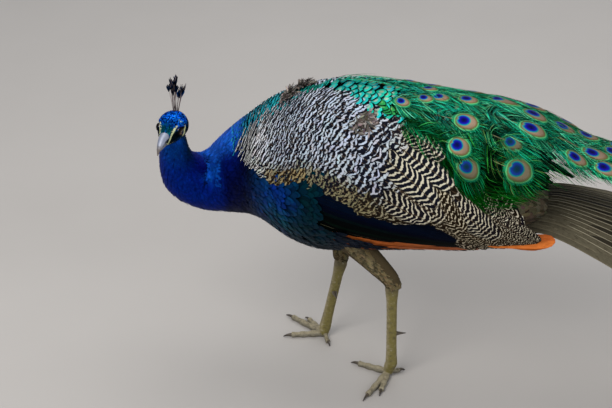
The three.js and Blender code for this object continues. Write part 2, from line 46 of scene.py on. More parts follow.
# ------------------------------------------------------------------ frame of the bird
# sizes below are millimetres measured from the middle of the feet; SH moves them to the row frame
YAW, PITCH, ROLL = 78 * D2R, 13.5 * D2R, -2 * D2R
HF = np.array([-math.cos(YAW) * math.cos(PITCH), -math.sin(YAW) * math.cos(PITCH), -math.sin(PITCH)])
_l = np.array([math.sin(YAW), -math.cos(YAW), 0.0]); _u = np.cross(HF, _l)
HL = _l * math.cos(ROLL) + _u * math.sin(ROLL)
HU = _u * math.cos(ROLL) - _l * math.sin(ROLL)
HO = np.array([-261.0, -88.0, 435.0])
EYE_AT = np.array([11.8, 14.9, 3.6])
_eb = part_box("eye_left")
_ec = (np.array(_eb[0]) + np.array(_eb[1])) / 2
SH = _ec - (HO + HF * EYE_AT[0] + HL * EYE_AT[1] + HU * EYE_AT[2]) / 1000


def W3(p):
    """millimetres in the bird's own frame to metres in the row frame"""
    return np.asarray(p, float) / 1000 + SH


def head(f, l, u):
    f, l, u = np.broadcast_arrays(np.asarray(f, float), np.asarray(l, float), np.asarray(u, float))
    return W3(HO + f[..., None] * HF + l[..., None] * HL + u[..., None] * HU)


def lin(r, g, b):
    c = np.array([r, g, b]) / 255.0
    return np.where(c <= 0.04045, c / 12.92, ((c + 0.055) / 1.055) ** 2.4)


def mixc(a, b, t):
    t = np.clip(np.asarray(t, float), 0, 1)[..., None]
    return np.asarray(a) * (1 - t) + np.asarray(b) * t


def sstep(a, b, x):
    t = np.clip((np.asarray(x, float) - a) / (b - a), 0, 1)
    return t * t * (3 - 2 * t)


def cr(tab, q):
    n = len(tab)
    i = np.clip(np.floor(q).astype(int), 0, n - 2)
    t = (q - i)[:, None]
    p0, p1, p2, p3 = tab[np.maximum(i - 1, 0)], tab[i], tab[i + 1], tab[np.minimum(i + 2, n - 1)]
    return 0.5 * (2 * p1 + (p2 - p0) * t + (2 * p0 - 5 * p1 + 4 * p2 - p3) * t * t + (3 * p1 - p0 - 3 * p2 + p3) * t ** 3)


def unit(v):
    return v / (np.linalg.norm(v, axis=-1, keepdims=True) + 1e-12)


def wob(x, y, k=0.0):
    """smooth cheap noise in -1..1 from a few sines"""
    return (np.sin(x * 1.7 + y * 2.3 + k) + np.sin(x * 3.1 - y * 1.9 + 2.1 * k + 1.3) + np.sin(-x * 2.3 + y * 4.1 + 0.7 * k + 4.0) + np.sin(x * 5.3 + y * 3.7 + 1.9 * k)) / 4


# ------------------------------------------------------------------ surfaces of the plumage
NECK = [
    ((-266, -80, 424), (0.02, 0.95, 0.3), 14, 13.5), ((-267, -76, 410), (0.08, 0.95, 0.3), 18.5, 18.5), ((-267.5, -70, 392), (0.2, 0.92, 0.3), 20.5, 20.5),
    ((-268, -62, 373), (0.34, 0.86, 0.36), 23.5, 23.5), ((-266.5, -53, 353), (0.36, 0.8, 0.46), 28.5, 28.5), ((-261.5, -43, 335), (0.28, 0.75, 0.6), 35, 35),
    ((-254, -33, 322.5), (0.15, 0.66, 0.74), 39, 38.5), ((-243, -26, 315), (0.05, 0.52, 0.85), 42, 42), ((-230, -18, 312), (-0.02, 0.34, 0.94), 47, 47),
    ((-215, -11.5, 316), (-0.06, 0.16, 0.98), 54, 53), ((-199, -5.5, 323), (-0.03, 0.03, 1), 63.5, 60)]
BODY = [(-170, 337, 74, 78), (-140, 347, 90, 94), (-100, 345, 106, 117), (-60, 344.5, 114, 130), (-20, 348, 118, 133), (30, 351, 120, 129),
        (80, 350, 120, 121), (130, 350, 120, 116), (180, 350, 119, 110)]
REAR = [(200, 356, 118, 102), (250, 375, 112, 67), (290, 376, 105, 46), (330, 362, 99, 40), (372, 354, 94, 36), (450, 319, 88, 33), (520, 285, 82, 30), (610, 246, 72, 26)]
WREAR = [(210, 346, 114, 100), (240, 341, 107, 90), (268, 335, 100, 79), (292, 330, 92, 70), (315, 326, 86, 64)]


class Surf:
    def __init__(self, rows, soft=0.0):
        self.soft = soft                     # evens out the turn of the stations at the base of the neck
        t = np.array([[*c, *d, rd, rl] for c, d, rd, rl in rows], float)
        t[:, 3:6] = unit(t[:, 3:6])
        t[:, :3] = W3(t[:, :3]); t[:, 6:] /= 1000
        self.t = t; self.n = len(t)
        q = np.linspace(0, self.n - 1, 60 * self.n)
        c = cr(t[:, :3], q)
        self.qs, self.xs = q, c[:, 0]
        self.arc = np.concatenate([[0], np.cumsum(np.linalg.norm(np.diff(c, axis=0), axis=1))])

    def axes(self, q):
        q = np.clip(q, -0.45, self.n - 0.55)
        v = cr(self.t, q); e = 2e-3 + self.soft * sstep(5.0, 7.5, q) * (1 - sstep(12.5, 14.5, q))
        dc = cr(self.t[:, :3], q + e) - cr(self.t[:, :3], q - e)
        D = unit(v[:, 3:6]); L = unit(np.cross(D, -dc))
        return v[:, :3], D, L, v[:, 6], v[:, 7]

    def pos(self, q, a):
        c, D, L, rd, rl = self.axes(q)
        return c + D * (rd * np.cos(a))[:, None] + L * (rl * np.sin(a))[:, None]

    def full(self, q, a):
        q, a = np.broadcast_arrays(np.asarray(q, float), np.asarray(a, float))
        sh = q.shape; q = q.ravel(); a = a.ravel(); e = 4e-3
        p = self.pos(q, a)
        pq = (self.pos(q + e, a) - self.pos(q - e, a)) / (2 * e)
        pa = (self.pos(q, a + e) - self.pos(q, a - e)) / (2 * e)
        n = unit(np.cross(pa, pq))
        c = self.axes(q)[0]
        n *= np.sign((n * (p - c)).sum(-1, keepdims=True) + 1e-12)
        return p.reshape(*sh, 3), n.reshape(*sh, 3), pq.reshape(*sh, 3), pa.reshape(*sh, 3)

    def q_at(self, x_mm):
        """station at a bird-frame x, for the stretch where x rises steadily"""
        xs = np.asarray(x_mm, float) / 1000 + SH[0]
        k = np.argmin(self.xs)
        return np.interp(xs, self.xs[k:], self.qs[k:])

    def x_of(self, q):
        return (cr(self.t[:, :3], np.ravel(np.asarray(q, float)))[:, 0].reshape(np.shape(q)) - SH[0]) * 1000


up = (0, 0, 1)
CORE = Surf([*NECK, *[((x, 0, z), up, b, a) for x, z, a, b in BODY], *[((x, 0, z), up, b, a) for x, z, a, b in [(205, 349, 110, 92), (235, 340, 90, 66), (262, 328, 62, 38), (280, 318, 36, 20)]]], 0.9)
TRAIN = Surf([((x, 0, z), up, b, a) for x, z, a, b in [*BODY[2:], *REAR]])
WING = Surf([((x, 0, z), up, b, a) for x, z, a, b in [*BODY, *WREAR]])


# ------------------------------------------------------------------ mesh building
def mesh_object(name, V, F, uv=None, attrs=None, sharp=None, smooth=True):
    me = bpy.data.meshes.new(name)
    V = np.ascontiguousarray(V, np.float32).reshape(-1, 3)
    F = np.ascontiguousarray(F, np.int32)
    k = F.shape[1]
    me.vertices.add(len(V)); me.vertices.foreach_set("co", V.ravel())
    me.loops.add(F.size); me.loops.foreach_set("vertex_index", F.ravel())
    me.polygons.add(len(F)); me.polygons.foreach_set("loop_start", np.arange(0, F.size, k, dtype=np.int32))
    me.update(calc_edges=True)
    me.polygons.foreach_set("use_smooth", np.full(len(F), smooth))
    for key, val in (attrs or {}).items():
        val = np.asarray(val, np.float32)
        if key.startswith("Col"):
            at = me.attributes.new(key, "FLOAT_COLOR", "POINT")
            c = np.ones((len(V), 4), np.float32); c[:, :3] = val.reshape(-1, 3)
            at.data.foreach_set("color", c.ravel())
        else:
            at = me.attributes.new(key, "FLOAT_VECTOR", "POINT")
            at.data.foreach_set("vector", val.reshape(-1, 3).ravel())
    if uv is not None:
        lay = me.uv_layers.new(name="OFBake")
        lay.uv.foreach_set("vector", np.ascontiguousarray(uv.reshape(-1, 2)[F.ravel()], np.float32).ravel())
    if sharp is not None:
        me.set_sharp_from_angle(angle=sharp)
    ob = bpy.data.objects.new(name, me)
    bpy.context.scene.collection.objects.link(ob)
    return ob


def lens_template(R, C):
    """a closed vane: an R by C upper sheet and an under sheet that shares its border"""
    def b(r, c):
        if r in (0, R - 1) or c in (0, C - 1):
            return r * C + c
        return R * C + (r - 1) * (C - 2) + (c - 1)
    f = []
    for r in range(R - 1):
        for c in range(C - 1):
            f.append((r * C + c, r * C + c + 1, (r + 1) * C + c + 1, (r + 1) * C + c))
            f.append((b(r, c), b(r + 1, c), b(r + 1, c + 1), b(r, c + 1)))
    f = [x for x in f]
    nb = (R - 2) * (C - 2)
    src = [r * C + c for r in range(1, R - 1) for c in range(1, C - 1)]
    return np.array(f, np.int64), np.array(src, np.int64), R * C + nb


class Coat:
    """many closed feathers gathered into a few mesh pieces; per = most feathers in a piece whose feathers each get a cell of the map"""
    def __init__(self, name, mat, slot, nodes, limit=190000, per=None):
        self.name, self.mat, self.slot, self.nodes, self.limit, self.per = name, mat, slot, nodes, limit, per
        self.parts = []

    def add(self, V, F, uv, attrs):
        """V (N,K,3), F template (M,4), uv (N,K,2), attrs {key: (N,K,3)}"""
        if len(V):
            self.parts.append((V, F, uv, attrs))

    def tris(self):
        return sum(len(V) * len(F) * (F.shape[1] - 2) for V, F, *_ in self.parts)

    def build(self):
        chunks, cur, n, m = [], [], 0, 0
        for V, F, uv, at in self.parts:
            per = len(F) * (F.shape[1] - 2); i = 0
            while i < len(V):
                room = max(0, (self.limit - n) // per)
                if self.per:
                    room = min(room, self.per - m)
                if room == 0:
                    chunks.append(cur); cur, n, m = [], 0, 0; continue
                j = min(len(V), i + room)
                cur.append((V[i:j], F, uv[i:j], {k: v[i:j] for k, v in at.items()})); n += (j - i) * per; m += j - i; i = j
        if cur:
            chunks.append(cur)
        out = []
        for ci, ch in enumerate(chunks):
            vs, fs, us, ats, off, done = [], [], [], {}, 0, 0
            total = sum(len(c[0]) for c in ch); nx = max(1, math.ceil(math.sqrt(total))); ny = max(1, math.ceil(total / nx))
            for V, F, uv, at in ch:
                N, K = V.shape[:2]
                if self.per:
                    k = (done + np.arange(N))[:, None]
                    uv = np.stack([(k % nx + 0.04 + 0.92 * uv[..., 0]) / nx, (k // nx + 0.04 + 0.92 * uv[..., 1]) / ny], -1)
                done += N
                vs.append(V.reshape(-1, 3)); us.append(uv.reshape(-1, 2))
                fs.append((F[None] + (np.arange(N) * K)[:, None, None] + off).reshape(-1, F.shape[1])); off += N * K
                for k_, v in at.items():
                    ats.setdefault(k_, []).append(v.reshape(-1, 3))
            ob = mesh_object(f"{self.name}_{ci + 1}" if len(chunks) > 1 else self.name, np.concatenate(vs), np.concatenate(fs), np.concatenate(us), {k_: np.concatenate(v) for k_, v in ats.items()}, sharp=1.0)
            ob.data.materials.append(self.mat)
            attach(ob, "root")
            if self.nodes:
                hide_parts(*self.nodes)
            out.append(ob)
        TALLY.append((self.name, len(out), self.tris()))
        return out


TALLY = []


def profile(kind, t):
    if kind == "round":      # short rounded contour feather
        return np.clip(0.42 + 1.9 * t - 1.1 * t * t, 0, 1) * np.sqrt(np.clip(1 - ((t - 0.62) / 0.40).clip(0, 1) ** 2.4, 0.05, 1))
    if kind == "scale":      # broad fan
        return np.clip(0.30 + 1.5 * t - 0.55 * t * t, 0, 1) * np.sqrt(np.clip(1 - ((t - 0.6) / 0.42).clip(0, 1) ** 2.6, 0.06, 1))
    if kind == "silk":       # narrow, pointed, for the neck
        return np.clip(0.5 + 1.6 * t - 1.2 * t * t, 0, 1) * np.sqrt(np.clip(1 - ((t - 0.45) / 0.58).clip(0, 1) ** 1.9, 0.03, 1))
    if kind == "quill":      # long flight or tail feather
        return np.clip(0.35 + 4 * t, 0, 1) * np.sqrt(np.clip(1 - ((t - 0.80) / 0.205).clip(0, 1) ** 2.3, 0.02, 1))
    if kind == "tert":       # long, broad, bluntly pointed
        return np.clip(0.45 + 2.4 * t, 0, 1) * np.sqrt(np.clip(1 - ((t - 0.55) / 0.46).clip(0, 1) ** 2.1, 0.03, 1))
    raise KeyError(kind)


def drape(coat, S, q, a, phi, L, Wd, kind="round", R=5, C=3, low=-0.004, lift=0.001, cup=0.12, curl=0.0, thick=0.0004,
          col=None, colb=None, bend=0.0, uvsize=0.003, uvpos=None, jit=0.0, warp=None):
    """lays N feathers on the surface S, roots at (q,a), pointing towards rising q turned by phi towards rising a"""
    N = len(q)
    q, a, phi, L, Wd = (np.broadcast_to(np.asarray(v, float), (N,)).copy() for v in (q, a, phi, L, Wd))
    low, lift, curl, bend = (np.broadcast_to(np.asarray(v, float), (N,)) for v in (low, lift, curl, bend))
    _, _, pq, pa = S.full(q, a)
    mq, ma = np.linalg.norm(pq, axis=-1), np.linalg.norm(pa, axis=-1)
    t = np.linspace(0, 1, R); s = np.linspace(-1, 1, C)
    w = profile(kind, t)
    al = t[None, :, None] * L[:, None, None] * np.ones((1, 1, C))
    ac = s[None, None, :] * (w[None, :, None] * Wd[:, None, None] / 2)
    # barbs sweep forward at the edges, and the axis may bend sideways
    acb = ac + bend[:, None, None] * (t[None, :, None] ** 2) * L[:, None, None]
    cp, sp = np.cos(phi)[:, None, None], np.sin(phi)[:, None, None]
    dq = (al * cp - acb * sp) / mq[:, None, None]
    da = (al * sp + acb * cp) / ma[:, None, None]
    P, Nn, _, _ = S.full(q[:, None, None] + dq, a[:, None, None] + da)
    h = low[:, None, None] * (1 - t[None, :, None]) ** 1.3 + lift[:, None, None] * t[None, :, None] + curl[:, None, None] * t[None, :, None] ** 3 * L[:, None, None]
    h = h + (RNG.random(N) * jit)[:, None, None] - cup * (s[None, None, :] ** 2) * w[None, :, None] * Wd[:, None, None] / 2 * (0.4 + 0.6 * t[None, :, None])
    if warp is not None:
        h = h + warp(t[None, :, None], s[None, None, :], N)
    top = P + Nn * h[..., None]
    finish(coat, top, Nn, al, ac, L, t, s, thick, col, colb, uvsize, np.stack([0.04 + 0.92 * (q / S.n), 0.5 + 0.46 * np.clip(((a + math.pi) % (2 * math.pi) - math.pi) / math.pi, -1, 1)], -1) if uvpos is None else uvpos)


def finish(coat, top, Nn, al, ac, L, t, s, thick, col, colb, uvsize, uvpos, rnd=None):
    N, R, C = top.shape[:3]
    F, src, K = lens_template(R, C)
    topf = top.reshape(N, R * C, 3)
    bot = topf[:, src] - (np.broadcast_to(Nn, top.shape).reshape(N, R * C, 3)[:, src]) * thick
    V = np.concatenate([topf, bot], 1)
    tt = np.broadcast_to(t[:, None], (R, C)).reshape(-1); ss = np.broadcast_to(s[None], (R, C)).reshape(-1)
    tt = np.concatenate([tt, tt[src]]); ss = np.concatenate([ss, ss[src]])
    rnd = RNG.random(N) if rnd is None else rnd
    fa = np.stack([np.broadcast_to(tt, (N, K)), np.broadcast_to(ss, (N, K)), np.broadcast_to(rnd[:, None], (N, K))], -1)
    alf = np.broadcast_to(al, (N, R, C)).reshape(N, -1); acf = np.broadcast_to(ac, (N, R, C)).reshape(N, -1)
    alf = np.concatenate([alf, alf[:, src]], 1); acf = np.concatenate([acf, acf[:, src]], 1)
    fb = np.stack([alf, acf, np.broadcast_to(L[:, None], (N, K))], -1)
    ca = np.broadcast_to((np.full((N, 3), 0.5) if col is None else np.broadcast_to(col, (N, 3)))[:, None], (N, K, 3))
    cb = np.broadcast_to((np.full((N, 3), 0.5) if colb is None else np.broadcast_to(colb, (N, 3)))[:, None], (N, K, 3))
    if coat.per:
        uv = np.broadcast_to(np.stack([tt, (ss + 1) / 2], -1), (N, K, 2))
    else:
        uv = uvpos[:, None, :] + np.stack([(tt - 0.5) * uvsize, ss * 0.5 * uvsize], -1)[None]
    coat.add(V, F, uv, {"fa": fa, "fb": fb, "Col": ca, "ColB": cb})


def lay3(coat, P, X, Nn, W, kind="quill", C=5, cup=0.1, thick=0.0006, col=None, colb=None, skew=0.0, uvpos=(0.5, 0.5), rnd=None, ripple=0.0):
    """one long feather from its shaft points P, the unit vectors across X and up Nn, and its full width W"""
    R = len(P); t = np.linspace(0, 1, R); s = np.linspace(-1, 1, C)
    w = profile(kind, t) * W / 2
    side = np.where(s > 0, 1 + skew, 1 - skew)
    ac = (w[:, None] * s[None] * side[None])[None]
    al = np.concatenate([[0], np.cumsum(np.linalg.norm(np.diff(P, axis=0), axis=1))])
    L = np.array([al[-1]])
    h = -cup * (s[None] ** 2) * w[:, None] + ripple * np.sin(s[None] * 9 + t[:, None] * 14)
    top = (P[:, None] + X[:, None] * ac[0][..., None] + Nn[:, None] * h[..., None])[None]
    al = np.broadcast_to((al[:, None] - np.abs(ac[0]) * 0.0)[None], (1, R, C))
    finish(coat, top, np.broadcast_to(Nn[None, :, None], (1, R, C, 3)), al, ac, L, t, s, thick, None if col is None else np.array([col]), None if colb is None else np.array([colb]), 0.003, np.array([uvpos], float), None if rnd is None else np.array([rnd]))


def track(S, pts, R, h0=0.0):
    """shaft points over a surface through (x mm, angle a, height mm) control points"""
    pts = np.array(pts, float)
    k = np.linspace(0, len(pts) - 1, R)
    c = cr(pts, k)
    q, a = S.q_at(c[:, 0]), c[:, 1]
    P, N, _, _ = S.full(q, a)
    P = P + N * ((c[:, 2] + h0) / 1000)[:, None]
    T = unit(np.gradient(P, axis=0)); X = unit(np.cross(N, T)); N = unit(np.cross(T, X))
    return P, X, N, (0.04 + 0.92 * q[0] / S.n, 0.5 + 0.46 * a[0] / math.pi)


def tubes(coat, P, Nn, rad, flat=1.0, col=None, colb=None, uvpos=None):
    """P (N,R,3) centre lines, Nn (N,R,3) up, rad (N,R) half widths, four sided and closed"""
    N, R = P.shape[:2]
    T = unit(np.gradient(P, axis=1)); X = unit(np.cross(Nn, T)); U = np.cross(T, X)
    r = np.broadcast_to(rad, (N, R))[..., None]
    V = np.stack([P + X * r, P + U * r * flat, P - X * r, P - U * r * flat], 2).reshape(N, R * 4, 3)
    f = []
    for i in range(R - 1):
        for k in range(4):
            f.append((i * 4 + k, i * 4 + (k + 1) % 4, i * 4 + 4 + (k + 1) % 4, i * 4 + 4 + k))
    f.append((3, 2, 1, 0)); f.append(tuple((R - 1) * 4 + k for k in range(4)))
    F = np.array(f)[:, ::-1]
    K = R * 4
    tt = np.repeat(np.linspace(0, 1, R), 4); ss = np.tile([1.0, 0.0, -1.0, 0.0], R)
    rnd = RNG.random(N)
    L = np.linalg.norm(np.diff(P, axis=1), axis=-1).sum(1)
    fa = np.stack([np.broadcast_to(tt, (N, K)), np.broadcast_to(ss, (N, K)), np.broadcast_to(rnd[:, None], (N, K))], -1)
    fb = np.stack([tt[None] * L[:, None], np.broadcast_to(ss * 0.0005, (N, K)), np.broadcast_to(L[:, None], (N, K))], -1)
    ca = np.broadcast_to(np.broadcast_to(np.full(3, 0.5) if col is None else col, (N, 3))[:, None], (N, K, 3))
    cb = np.broadcast_to(np.broadcast_to(np.full(3, 0.5) if colb is None else colb, (N, 3))[:, None], (N, K, 3))
    if coat.per:
        uv = np.broadcast_to(np.stack([tt, (ss + 1) / 2], -1), (N, K, 2))
    else:
        uvpos = np.full((N, 2), 0.5) if uvpos is None else uvpos
        uv = uvpos[:, None, :] + np.stack([(tt - 0.5) * 0.003, ss * 0.0015], -1)[None]
    coat.add(V, F, uv, {"fa": fa, "fb": fb, "Col": ca, "ColB": cb})


def field(S, q0, q1, dl, dw, a0=-math.pi, a1=math.pi, jit=0.22):
    """staggered roots: rows dl metres apart along the surface and dw apart around it"""
    s0, s1 = np.interp([q0, q1], S.qs, S.arc)
    Q, A_ = [], []
    for i in range(int((s1 - s0) / dl) + 1):
        qi = np.interp(s0 + i * dl, S.arc, S.qs)
        _, _, _, rd, rl = S.axes(np.array([qi]))
        n = max(2, int(round((a1 - a0) * (rd[0] + rl[0]) / 2 / dw)))
        Q.append(np.full(n, qi)); A_.append(a0 + (np.arange(n) + 0.25 + 0.5 * (i % 2)) / n * (a1 - a0))
    Q, A_ = np.concatenate(Q), np.concatenate(A_)
    _, _, pq, pa = S.full(Q, A_)
    mq, ma = np.linalg.norm(pq, axis=-1), np.linalg.norm(pa, axis=-1)
    Q = Q + RNG.normal(0, jit, len(Q)) * dl / mq
    A_ = A_ + RNG.normal(0, jit, len(Q)) * dw / ma
    return Q, A_, mq


# ------------------------------------------------------------------ materials
def new_mat(name):
    m = bpy.data.materials.new(name); m.use_nodes = True
    nt = m.node_tree; nt.nodes.clear()
    out = nt.nodes.new("ShaderNodeOutputMaterial"); bs = nt.nodes.new("ShaderNodeBsdfPrincipled")
    nt.links.new(bs.outputs[0], out.inputs[0])
    return m, nt, bs


class NT:
    """tiny helper to write node maths as expressions"""
    def __init__(self, nt):
        self.nt = nt

    def _in(self, sock, v):
        if isinstance(v, (int, float)):
            sock.default_value = v
        elif isinstance(v, (tuple, list, np.ndarray)):
            v = [float(x) for x in v]
            sock.default_value = (*v, 1.0) if len(sock.default_value) == 4 and len(v) == 3 else v
        else:
            self.nt.links.new(v, sock)

    def m(self, op, a, b=0.0, c=0.0, clamp=False):
        n = self.nt.nodes.new("ShaderNodeMath"); n.operation = op; n.use_clamp = clamp
        for i, v in enumerate((a, b, c)):
            self._in(n.inputs[i], v)
        return n.outputs[0]

    def attr(self, name, out="Vector"):
        n = self.nt.nodes.new("ShaderNodeAttribute"); n.attribute_name = name
        return n.outputs[out]

    def sep(self, v):
        n = self.nt.nodes.new("ShaderNodeSeparateXYZ"); self.nt.links.new(v, n.inputs[0])
        return n.outputs

    def comb(self, x, y, z=0.0):
        n = self.nt.nodes.new("ShaderNodeCombineXYZ")
        for i, v in enumerate((x, y, z)):
            self._in(n.inputs[i], v)
        return n.outputs[0]

    def noise(self, vec, scale, detail=2.0, rough=0.5, dist=0.0):
        n = self.nt.nodes.new("ShaderNodeTexNoise"); n.noise_dimensions = "3D"
        if vec is not None:
            self.nt.links.new(vec, n.inputs["Vector"])
        n.inputs["Scale"].default_value = scale; n.inputs["Detail"].default_value = detail
        n.inputs["Roughness"].default_value = rough; n.inputs["Distortion"].default_value = dist
        return n.outputs[0]

    def mix(self, f, a, b, mode="MIX"):
        n = self.nt.nodes.new("ShaderNodeMix"); n.data_type = "RGBA"; n.blend_type = mode
        self._in(n.inputs[0], f); self._in(n.inputs[6], a); self._in(n.inputs[7], b)
        return n.outputs[2]

    def smooth(self, x, lo, hi, a=0.0, b=1.0):
        n = self.nt.nodes.new("ShaderNodeMapRange"); n.interpolation_type = "SMOOTHSTEP"; n.clamp = True
        self._in(n.inputs[0], x); self._in(n.inputs[1], lo); self._in(n.inputs[2], hi); self._in(n.inputs[3], a); self._in(n.inputs[4], b)
        return n.outputs[0]

    def bump(self, h, strength, dist):
        n = self.nt.nodes.new("ShaderNodeBump"); n.inputs["Strength"].default_value = strength
        n.inputs["Distance"].default_value = dist; self.nt.links.new(h, n.inputs["Height"])
        return n.outputs[0]

    def pos(self):
        n = self.nt.nodes.new("ShaderNodeNewGeometry")
        return n.outputs["Position"]

    def obj(self):
        n = self.nt.nodes.new("ShaderNodeTexCoord")
        return n.outputs["Object"]

    def ramp(self, f, stops, interp="LINEAR"):
        n = self.nt.nodes.new("ShaderNodeValToRGB"); cr_ = n.color_ramp; cr_.interpolation = interp
        while len(cr_.elements) > 1:
            cr_.elements.remove(cr_.elements[-1])
        for i, (p, c) in enumerate(stops):
            e = cr_.elements[0] if i == 0 else cr_.elements.new(p)
            e.position = p; e.color = (*[float(x) for x in c], 1.0)
        self._in(n.inputs[0], f)
        return n.outputs[0]


def plume_material(name, rough=0.5, metal=0.0, spec=0.1, sheen=0.04, sheen_tint=(0.6, 0.7, 1.0), barb=900.0, barb_amt=0.35, root_dark=0.55, edge=0.0, coat=0.0, tip_mix=0.0, glance=(0.03, 0.10, 0.18)):
    """Col along the vane, turning to ColB at its border, with fine barb lines from the feather's own coordinates"""
    m, nt, bs = new_mat(name); g = NT(nt)
    t, s, r = g.sep(g.attr("fa"))[:3]
    al, ac, ln = g.sep(g.attr("fb"))[:3]
    c, cb = g.attr("Col", "Color"), g.attr("ColB", "Color")
    abs_s = g.m("ABSOLUTE", s)
    # barbs run forward and outward from the shaft
    ph = g.m("ADD", al, g.m("MULTIPLY", g.m("ABSOLUTE", ac), -1.1))
    nz = g.noise(g.comb(g.m("MULTIPLY", al, 220.0), g.m("MULTIPLY", ac, 220.0), g.m("MULTIPLY", r, 37.0)), 1.0, 2.0)
    line = g.m("SINE", g.m("ADD", g.m("MULTIPLY", ph, barb * 6.2832), g.m("MULTIPLY", nz, 5.0)))
    line = g.smooth(line, -1.0, 1.0, 1.0 - barb_amt, 1.0 + barb_amt * 0.35)
    rim = g.m("MAXIMUM", g.smooth(abs_s, 0.45, 1.0), g.smooth(t, 0.72, 1.0))
    rim = g.m("MULTIPLY", rim, edge)
    col = g.mix(rim, c, cb)
    if tip_mix:
        col = g.mix(g.m("MULTIPLY", g.smooth(t, 0.35, 0.9), tip_mix), col, cb)
    dark = g.smooth(t, 0.0, 0.55, root_dark, 1.0)
    col = g.mix(1.0, col, g.comb(g.m("MULTIPLY", line, dark), g.m("MULTIPLY", line, dark), g.m("MULTIPLY", line, dark)), "MULTIPLY")
    nt.links.new(col, bs.inputs["Base Color"])
    bs.inputs["Roughness"].default_value = rough; bs.inputs["Metallic"].default_value = metal
    bs.inputs["Specular IOR Level"].default_value = spec; bs.inputs["Specular Tint"].default_value = (*glance, 1)
    bs.inputs["Sheen Weight"].default_value = sheen; bs.inputs["Sheen Tint"].default_value = (*sheen_tint, 1)
    bs.inputs["Sheen Roughness"].default_value = 0.35
    bs.inputs["Coat Weight"].default_value = coat; bs.inputs["Coat Roughness"].default_value = 0.25
    nt.links.new(g.bump(line, 0.25, 0.0004), bs.inputs["Normal"])
    return m


def barred_material(name):
    """cream and black cross bars, uneven and wavy, from the feather's own coordinates; ColB = (bar period / 20 mm, brown, fineness)"""
    m, nt, bs = new_mat(name); g = NT(nt)
    t, s, r = g.sep(g.attr("fa"))[:3]
    al, ac, ln = g.sep(g.attr("fb"))[:3]
    pale = g.attr("Col", "Color")
    per, brown, fine = g.sep(g.attr("ColB"))[:3]
    per = g.m("MULTIPLY", per, 0.02)
    aac = g.m("ABSOLUTE", ac)
    seed = g.m("MULTIPLY", r, 53.0)
    k = g.m("DIVIDE", 1.0, per)
    v1 = g.comb(g.m("MULTIPLY", g.m("MULTIPLY", al, k), 0.32), g.m("MULTIPLY", g.m("MULTIPLY", ac, k), 1.15), seed)
    n1 = g.m("SUBTRACT", g.noise(v1, 1.0, 2.0, 0.55), 0.5)
    v2 = g.comb(g.m("MULTIPLY", g.m("MULTIPLY", al, k), 2.2), g.m("MULTIPLY", g.m("MULTIPLY", ac, k), 2.2), seed)
    n2 = g.m("SUBTRACT", g.noise(v2, 1.0, 2.0, 0.6), 0.5)
    x = g.m("MULTIPLY", g.m("ADD", al, g.m("MULTIPLY", g.m("MULTIPLY", aac, aac), 38.0)), k)
    x = g.m("ADD", x, g.m("MULTIPLY", n1, g.m("ADD", 1.25, g.m("MULTIPLY", fine, 2.4))))
    x = g.m("ADD", x, g.m("MULTIPLY", r, 5.0))
    wave = g.m("SINE", g.m("MULTIPLY", x, 6.2832))
    wave = g.m("ADD", wave, g.m("MULTIPLY", n2, g.m("ADD", 1.0, g.m("MULTIPLY", fine, 3.2))))
    wave = g.m("ADD", wave, g.m("MULTIPLY", g.m("MAXIMUM", g.m("MULTIPLY", fine, -1.0), 0.0), 2.2))
    wave = g.m("SUBTRACT", wave, g.m("MULTIPLY", g.m("MAXIMUM", fine, 0.0), 0.30))
    wave = g.m("SUBTRACT", wave, g.smooth(ln, 0.026, 0.040, 0.0, 0.30))
    bar = g.smooth(wave, 0.02, 0.36)
    dark = g.mix(g.smooth(brown, 0.1, 0.6), tuple(lin(16, 18, 28)), tuple(lin(30, 22, 12)))
    pale2 = g.mix(g.m("MULTIPLY", brown, 0.55), pale, tuple(lin(168, 140, 92)))
    pale2 = g.mix(g.smooth(n2, 0.05, 0.3, 0.0, 0.35), pale2, tuple(lin(112, 106, 92)))
    col = g.mix(bar, dark, pale2)
    shaft = g.m("SUBTRACT", 1.0, g.smooth(aac, 0.00025, 0.0007))
    col = g.mix(g.m("MULTIPLY", shaft, 0.6), col, tuple(lin(92, 74, 56)))
    # dark rim on the long feathers: partly their real brown edge, partly painted shadow where the next feather overlaps
    rim = g.m("MAXIMUM", g.smooth(g.m("ABSOLUTE", s), 0.86, 1.0), g.smooth(t, 0.95, 1.0))
    col = g.mix(g.m("MULTIPLY", rim, g.smooth(ln, 0.055, 0.07, 0.25, 0.85)), col, tuple(lin(40, 32, 22)))
    ph = g.m("ADD", al, g.m("MULTIPLY", aac, -1.0))
    line = g.smooth(g.m("SINE", g.m("MULTIPLY", ph, 6000.0)), -1.0, 1.0, 0.86, 1.06)
    sh = g.m("MULTIPLY", line, g.smooth(t, 0.0, 0.5, 0.55, 1.0))
    col = g.mix(1.0, col, g.comb(sh, sh, sh), "MULTIPLY")
    nt.links.new(col, bs.inputs["Base Color"])
    bs.inputs["Roughness"].default_value = 0.75; bs.inputs["Specular IOR Level"].default_value = 0.03
    nt.links.new(g.bump(line, 0.2, 0.0003), bs.inputs["Normal"])
    return m


